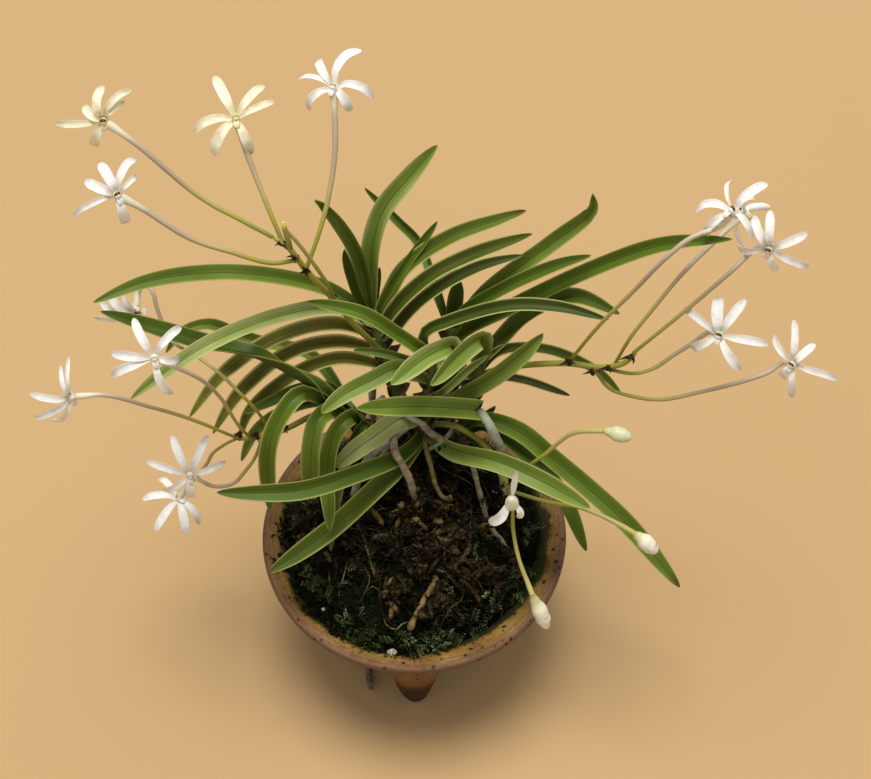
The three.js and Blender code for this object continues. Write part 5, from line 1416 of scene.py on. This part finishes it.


# tepal flesh: thin, watery white tissue that glitters and lets light through, with faint long veins;
# the tips go grey, partly the thin tissue and partly painted shade where they curl away from the light
def tepalFinish(name, shade, body, light, tip):
    material, add, place = newFinish(name)
    strip = add("SeparateXYZ", {0: add("UVMap", uv_map="blade")})
    cells = add("TexNoise", {"Vector": place, "Scale": 520.0, "Detail": 4.0, "Roughness": 0.6})
    veinX = add("Math", {0: strip.outputs["X"], 1: 9.0}, operation="MULTIPLY")
    veinPlace = add("CombineXYZ", {"X": veinX, "Y": strip.outputs["Y"]})
    veins = add("TexNoise", {"Vector": veinPlace, "Scale": 1.0, "Detail": 2.0})
    value = add("Math", {0: veins, 1: 0.5, 2: cells}, operation="MULTIPLY_ADD")
    colour = add("ValToRGB", {0: value}, stops=[(0.45, shade), (0.62, body), (0.8, light)])
    base = add("MapRange", {"Value": strip.outputs["Y"], "From Min": 0.3, "From Max": 0.0, "To Max": 0.5},
               interpolation_type="SMOOTHSTEP")
    based = add("Mix", {"Factor": base, "A": colour, "B": "#d6d2b4"}, data_type="RGBA")
    # the grey tips: partly thin tissue, partly painted shade
    end = add("MapRange", {"Value": strip.outputs["Y"], "From Min": 0.7, "From Max": 1.0, "To Max": 0.5},
              interpolation_type="SMOOTHSTEP")
    tipGreyAndShade = add("Mix", {"Factor": end, "A": based.outputs[2], "B": tip}, data_type="RGBA")
    bumps = add("Bump", {"Height": value, "Strength": 0.3, "Distance": 0.0003})
    return endFinish(material, {"Base Color": tipGreyAndShade, "Roughness": 0.5, "IOR": 1.4, **petalFlesh,
                                "Normal": bumps})


# the flower's heart: glassy white column with a rust-brown mouth under its cap
def heartFinish():
    material, add, _ = newFinish("waxyColumn")
    share = add("Attribute", attribute_name="share").outputs["Fac"]
    tone = add("Attribute", attribute_name="tone").outputs["Vector"]
    mouth = add("SeparateXYZ", {0: tone})
    colour = add("ValToRGB", {0: share}, stops=[(0.0, "#c9c5a2"), (0.4, "#dcd8bf"), (1.0, "#eeebdd")])
    aged = add("Mix", {"Factor": mouth.outputs["Y"], "A": colour, "B": "#e2d79a"}, data_type="RGBA")
    brown = add("ValToRGB", {0: share}, stops=[(0.05, "#2c170a"), (0.3, "#5a3614"), (0.55, "#7d5420"),
                                               (0.8, "#3a2010")])
    mixed = add("Mix", {"Factor": mouth.outputs["X"], "A": aged.outputs[2], "B": brown}, data_type="RGBA")
    return endFinish(material, {"Base Color": mixed, "Roughness": 0.5, "IOR": 1.42, **petalFlesh})


def tepalShape(width):
    def shape(t):
        opened = petal["baseShare"] + (1 - petal["baseShare"]) * ease(0, petal["openBy"], t)
        tail = max(0.0, (t - petal["tipStarts"]) / (1 - petal["tipStarts"]))
        rounded = max(0.0, 1 - tail ** 2.8) ** 0.55
        half = max(0.12, width / 2 * opened * rounded)
        return half, half * petal["cup"], petal["flesh"] * (0.4 + 0.6 * rounded)
    return shape


def makeBlooms():
    white = tepalFinish("glisteningTepal", "#d9d6d0", "#edebe6", "#fbfaf7", "#b9b2aa")
    cream = tepalFinish("agedCreamTepal", "#d3cda2", "#ebe5bd", "#faf6d8", "#aaa078")
    heart = heartFinish()
    for name, (at, facing, tips) in bloomRows.items():
        middle, outward = Vector(at), Vector(facing).normalized()
        right = Vector((0, 0, 1)).cross(outward).normalized()
        above = outward.cross(right)
        rows = []
        for degrees, reach, width, bow, turn in tips:
            angle = math.radians(degrees)
            spread = right * math.cos(angle) + above * math.sin(angle)
            twist = above * math.cos(angle) - right * math.sin(angle)
            hidden = math.sqrt(max(0.0, petal["lengthSquared"] - reach * reach))
            bent = max(petal["leastBend"], min(petal["mostBend"] * reach, hidden))
            points = [middle + spread * 0.5 - outward * 0.6,
                      middle + spread * reach * 0.33 + outward * petal["belly"] + twist * bow * 0.8,
                      middle + spread * reach * 0.74 - outward * bent * 0.12 + twist * bow * 0.85,
                      middle + spread * reach - outward * bent]
            turn = math.radians(turn)
            normal = outward * math.cos(turn) + twist * math.sin(turn)
            rows.append((points, [normal, normal + spread * 0.6], plain, petal["steps"], tepalShape(width)))
        lip = [middle + outward * lead - above * drop for lead, drop in heartForm["lip"]]
        rows.append((lip, [outward], plain, 12, tepalShape(1.7)))
        isCream = name in ("bloom_upper_1", "bloom_upper_3")
        tepals = grow(bladeSource("tepals_" + name, rows), blades, cream if isCream else white,
                      FoldSharpness=1.7, MarginThickness=0.00012, RippleHeight=0.0004, RippleLength=0.006,
                      Seed=len(rows))
        declare(tepals, "tepal_cream" if isCream else "tepal_white", name)
        column = [middle + outward * lead for lead in heartForm["column"]]
        mouth = [middle + outward * lead + above * rise + right * along
                 for along, rise, lead in heartForm["mouth"]]
        heartRows = [(column, heartForm["columnGirths"], (0, isCream, 0)),
                     (mouth, heartForm["mouthGirths"], (paleMouths.get(name, 1.0), isCream, 0))]
        core = grow(tubeSource("column_" + name, heartRows, 0.4), shootsTree, heart, Sides=16,
                    WrinkleDepth=0.0003, WrinkleSize=0.0015)
        declare(core, "tepal_white", name)
    return white


# closed bud: smooth waxy white, greenish where it joins the stalk, a breath of lilac at the nose
def budFinish():
    material, add, place = newFinish("waxyBud")
    share = add("Attribute", attribute_name="share").outputs["Fac"]
    tone = add("Attribute", attribute_name="tone").outputs["Vector"]
    green = add("SeparateXYZ", {0: tone})
    streak = add("TexNoise", {"Vector": place, "Scale": 480.0, "Detail": 3.0})
    value = add("Math", {0: streak, 1: 0.1, 2: share}, operation="MULTIPLY_ADD")
    colour = add("ValToRGB", {0: value}, stops=[(0.05, "#b9b07c"), (0.2, "#d3d2a0"), (0.4, "#ebe8cc"),
                                                (0.8, "#f3f0e0"), (1.0, "#e9e4d2")])
    # lilac threads, about a millimetre long, on the fattest part
    thread = add("MapRange", {"Value": streak, "From Min": 0.53, "From Max": 0.6},
                 interpolation_type="SMOOTHSTEP")
    band = add("MapRange", {"Value": share, "From Min": 0.5, "From Max": 0.62})
    nose = add("MapRange", {"Value": share, "From Min": 0.9, "From Max": 0.76})
    lilac = add("Math", {0: band, 1: nose}, operation="MULTIPLY")
    lilac = add("Math", {0: lilac, 1: thread}, operation="MULTIPLY")
    lilac = add("Math", {0: lilac, 1: green.outputs["Y"]}, operation="MULTIPLY")
    colour = add("Mix", {"Factor": lilac, "A": colour, "B": "#b79ab5"}, data_type="RGBA").outputs[2]
    mixed = add("Mix", {"Factor": green.outputs["X"], "A": colour, "B": "#c3cd9a"}, data_type="RGBA")
    bumps = add("Bump", {"Height": streak, "Strength": 0.15, "Distance": 0.0003})
    return endFinish(material, {"Base Color": mixed, "Roughness": 0.4, "IOR": 1.42,
                                "Subsurface Weight": 0.25, "Subsurface Scale": 0.0015,
                                "Subsurface Radius": (1.0, 0.95, 0.85), "Normal": bumps})


def makeBuds(white):
    wax = budFinish()
    for name, (start, end, girth) in budRows.items():
        start, end = Vector(start), Vector(end)
        points = [start, start.lerp(end, 0.5) + Vector((0, 0, 0.35)), end]
        girths = [(0, girth * 0.36), (0.16, girth * 0.6), (0.45, girth), (0.68, girth * 0.94),
                  (0.86, girth * 0.66), (0.96, girth * 0.34), (1, 0.1)]
        tone = (0.75, 0, 0) if name == "bud_green" else (0, 0.7, 0)
        piece = grow(tubeSource("bud_wax_" + name, [(points, girths, tone)], 0.4), shootsTree, wax, Sides=22,
                     WrinkleDepth=0.0005, WrinkleSize=0.004)
        declare(piece, "tepal_white", name)
    rows = [(points, [(0, -0.6, 0.8)], plain, petal["steps"], tepalShape(width))
            for points, width in openingTepals]
    opening = grow(bladeSource("tepals_bloom_opening", rows), blades, white, FoldSharpness=1.8,
                   MarginThickness=0.00012, RippleHeight=0.0006, RippleLength=0.005)
    declare(opening, "tepal_white", "bloom_opening")


makeBuds(makeBlooms())
print("flowers are open")


sprayRows = {
    "spray_upper": dict(
        axis=[(-10, 24, 131), (-13.3, 22, 140), (-18.5, 21.5, 150), (-22.7, 21.5, 160), (-31, 22, 175),
              (-36, 23, 185), (-40, 24, 188)],
        stalks=[
            ("bloom_upper_1", [(-40, 24, 188), (-49, 27, 192), (-61, 31, 198), (-77, 37, 213)]),
            ("bloom_upper_2", [(-33, 22, 180), (-41, 20, 181), (-52, 20, 186), (-64, 22, 190),
                (-76, 25, 199)]),
            ("bloom_upper_3", [(-37, 23, 186), (-41, 30, 193), (-47, 42, 203)]),
            ("bloom_upper_4", [(-31, 22, 176), (-27, 29, 184), (-24, 36, 192), (-22, 46, 201)]),
            ("", [(-23.4, 21.5, 161.5), (-24.6, 20.6, 169), (-29.3, 20, 183), (-33, 20, 191.5),
                (-35.6, 20, 196.5)]),
        ],
        withered=[[(-34.4, 19.6, 188), (-35, 19.4, 192), (-35.6, 19.8, 196), (-35.8, 20.2, 199)]],
        bracts=[(-24, 23, 161), (-31, 21, 176), (-34, 22, 181), (-37, 23, 186)]),
    "spray_left": dict(
        axis=[(-20, 11, 114), (-26, 11, 117), (-33, 9, 116), (-41, 4, 116), (-48, 0, 118),
              (-56, -3, 121)],
        stalks=[
            ("bloom_left_1", [(-51, -2, 119), (-54, -4, 130), (-58, -5, 148), (-62, -7, 160)]),
            ("bloom_left_2", [(-45, 1.7, 117.2), (-49, 1, 132), (-53, 1, 141), (-58, 4, 146),
                (-66.4, 12, 144.8), (-77.5, 25, 137), (-81, 31, 144), (-82.5, 35, 149),
                (-85, 37, 149.5), (-87.5, 36.5, 146)]),
            ("bloom_left_3", [(-55, -3, 121), (-68, -6, 137), (-78, -9, 148), (-90, -12, 159)]),
            ("bloom_left_4", [(-48, 0, 118), (-51, -3, 110), (-55, -5, 104), (-59, -7, 100),
                (-65, -8, 100)]),
            ("bloom_left_5", [(-56, -3, 121), (-60, -1, 115), (-65, 0, 108), (-69, 2, 97), (-76, 3, 84)]),
        ],
        bracts=[(-41, 4, 117), (-50, -1, 120), (-55, -2, 122)]),
    "spray_right": dict(
        axis=[(20, 18, 125), (26, 18, 129), (32, 16, 134), (48, 13, 140), (60, 10, 142), (66, 9, 146),
              (69, 9, 152)],
        stalks=[
            ("bloom_right_1", [(49, 13, 140), (57, 11, 163), (65.7, 11, 180), (73, 12, 193),
                (79.5, 15, 198), (88, 18, 200)]),
            ("bloom_right_2", [(63, 10, 143), (67, 12, 155), (72, 15, 163), (82, 21, 177)]),
            ("bloom_right_3", [(68, 9, 151), (78, 12, 162), (86, 15, 170), (95, 20, 177), (103, 26, 181)]),
            ("bloom_right_4", [(61, 10, 141), (69, 7, 143), (75, 7, 146), (80, 8, 151), (86, 9.5, 156),
                (90, 11, 159)]),
            ("bloom_right_5", [(57, 10, 141), (62, 7, 135), (68, 6, 132.5), (78, 4, 133),
                (90, 3.5, 138), (101.6, 4, 142.7), (110, 6, 145), (114.5, 8.5, 146.5)]),
        ],
        bracts=[(49, 12, 142), (57, 10, 140), (61, 9, 143), (67, 8, 150)]),
    "spray_low": dict(
        axis=[(6, 12, 107), (14, 9, 110), (21.4, 5, 107.8), (26.7, 0.5, 105), (28.7, -3, 100.5),
              (31.8, -6, 94)],
        stalks=[
            ("bloom_opening", [(31.6, -6, 94), (32, -9, 97)]),
            ("bud_low", [(31, -5, 95), (32.9, -9, 91), (33.3, -16, 85), (35.2, -25, 81),
                (38, -31, 76.5)]),
            ("bud_side", [(31.8, -6, 94), (44.5, -11, 95), (53.8, -15.5, 99.4), (60.7, -19, 100.3),
                (66.4, -22, 99.8)]),
            ("bud_green", [(31.6, -5, 94), (38, -5, 108), (42, -5, 114), (51, -4, 126)]),
        ],
        bracts=[(30.5, -5, 96), (27, 0, 103)]),
}

bractLeans = [(-2.7, -1.0, 0.3), (-0.6, -1.0, 2.5), (1.6, -1.0, 1.2), (0.6, -1.3, -1.4)]
stalkForm = {"axis": 0.95, "foot": 0.58, "middle": 0.68, "neck": 0.8, "throat": 1.25,
             "stoutness": {"spray_upper": 1.14, "spray_left": 0.88, "spray_right": 0.98}}


# stalk skin: yellow-green and waxy at the spray, fading to a pale greyish mauve below the flower
def stalkFinish():
    material, add, place = newFinish("waxyStalk")
    share = add("Attribute", attribute_name="share").outputs["Fac"]
    tone = add("Attribute", attribute_name="tone").outputs["Vector"]
    fade = add("SeparateXYZ", {0: tone})
    streak = add("TexNoise", {"Vector": place, "Scale": 300.0, "Detail": 3.0})
    value = add("Math", {0: share, 1: fade.outputs["X"]}, operation="MULTIPLY")
    value = add("Math", {0: streak, 1: 0.1, 2: value}, operation="MULTIPLY_ADD")
    colour = add("ValToRGB", {0: value}, stops=[(0.05, "#76803a"), (0.14, "#8c8f33"), (0.28, "#a39e40"),
                                                (0.48, "#b0a36c"), (0.66, "#b09f86"), (0.86, "#beb098"),
                                                (0.95, "#e2dcc2")])
    # a bud that withered keeps a bright yellow nose
    nose = add("MapRange", {"Value": share, "From Min": 0.8, "From Max": 0.95})
    nose = add("Math", {0: nose, 1: fade.outputs["Y"]}, operation="MULTIPLY")
    nosed = add("Mix", {"Factor": nose, "A": colour, "B": "#e3df5c"}, data_type="RGBA")
    bumps = add("Bump", {"Height": streak, "Strength": 0.2, "Distance": 0.0003})
    return endFinish(material, {"Base Color": nosed, "Roughness": 0.45, "IOR": 1.42,
                                "Subsurface Weight": 0.15, "Subsurface Scale": 0.001, "Normal": bumps})


# bract: dead scale at a node, almost black, papery
def bractFinish():
    material, add, place = newFinish("driedBract")
    mottle = add("TexNoise", {"Vector": place, "Scale": 700.0, "Detail": 3.0})
    colour = add("ValToRGB", {0: mottle}, stops=[(0.35, "#24180e"), (0.7, "#5c4228")])
    return endFinish(material, {"Base Color": colour, "Roughness": 0.7, "IOR": 1.45})


def bractShape(t):
    half = 0.88 * (0.75 + 0.25 * ease(0, 0.2, t)) * max(0.03, 1 - t ** 1.2)
    return max(0.06, half), half * 1.1, 0.2


def makeSprays():
    waxy, dried = stalkFinish(), bractFinish()
    draw = random.Random(53)
    for name, spray in sprayRows.items():
        width, stout = stalkForm["axis"], stalkForm["stoutness"].get(name, 1.0)
        rows = [(spray["axis"], [(0, width * 1.05), (0.8, width), (0.97, 0.8), (1, 0.4)], (0.22, 0, 0))]
        for target, points in spray["stalks"]:
            if target in bloomRows:
                aim = Vector(bloomRows[target][0])
                points = points + [tuple(aim + (Vector(points[-1]) - aim).normalized() * 1.2)]
                girths, tone = [(share, stalkForm[part] * stout) for share, part in (
                    (0, "foot"), (0.5, "middle"), (0.9, "neck"), (1, "throat"))], (0.95, 0, 0)
            elif target in budRows:
                points = points + [budRows[target][0]]
                girths, tone = [(0, 0.62), (0.7, 0.68), (1, 0.9)], (0.5, 0.3, 0)
            else:
                girths, tone = [(0, 0.6), (0.9, 0.62), (1, 0.5)], (0.45, 0, 0)
            rows.append((points, girths, tone))
        for points in spray.get("withered", []):
            rows.append((points, [(0, 0.55), (0.3, 0.85), (0.85, 0.8), (1, 0.3)], (0.4, 1, 0)))
        stalks = grow(tubeSource("stalks_" + name, rows), shootsTree, waxy, Sides=14,
                      WrinkleDepth=0.00022, WrinkleSize=0.004)
        declare(stalks, "stalk_green", name)
        rows = []
        for place in spray["bracts"]:
            node = Vector(place)
            for given in bractLeans:
                lean = Vector(given) + Vector((draw.gauss(0, 0.5), draw.gauss(0, 0.3), draw.gauss(0, 0.5)))
                bulge = lean.cross(Vector((0, 1, 0))).normalized() * draw.uniform(-0.9, 0.9)
                points = [node - lean * 0.35, node + lean * 0.45 + bulge,
                          node + lean * draw.uniform(0.7, 1.25)]
                rows.append((points, [(draw.uniform(-0.9, 0.9), -0.5, 0.87)], plain, 10, bractShape))
        scales = grow(bladeSource("bracts_" + name, rows), blades, dried, MarginThickness=0.0001,
                      RippleHeight=0.0005, RippleLength=0.003)
        declare(scales, "root_brown", name)


makeSprays()
print("sprays join the flowers to their stems")

scene.view_layers[0].update()
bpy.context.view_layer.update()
triangles = sum(len(face.vertices) - 2 for o in scene.objects if o.type == "MESH" for face in o.data.polygons)
print("triangles in the scene:", triangles)
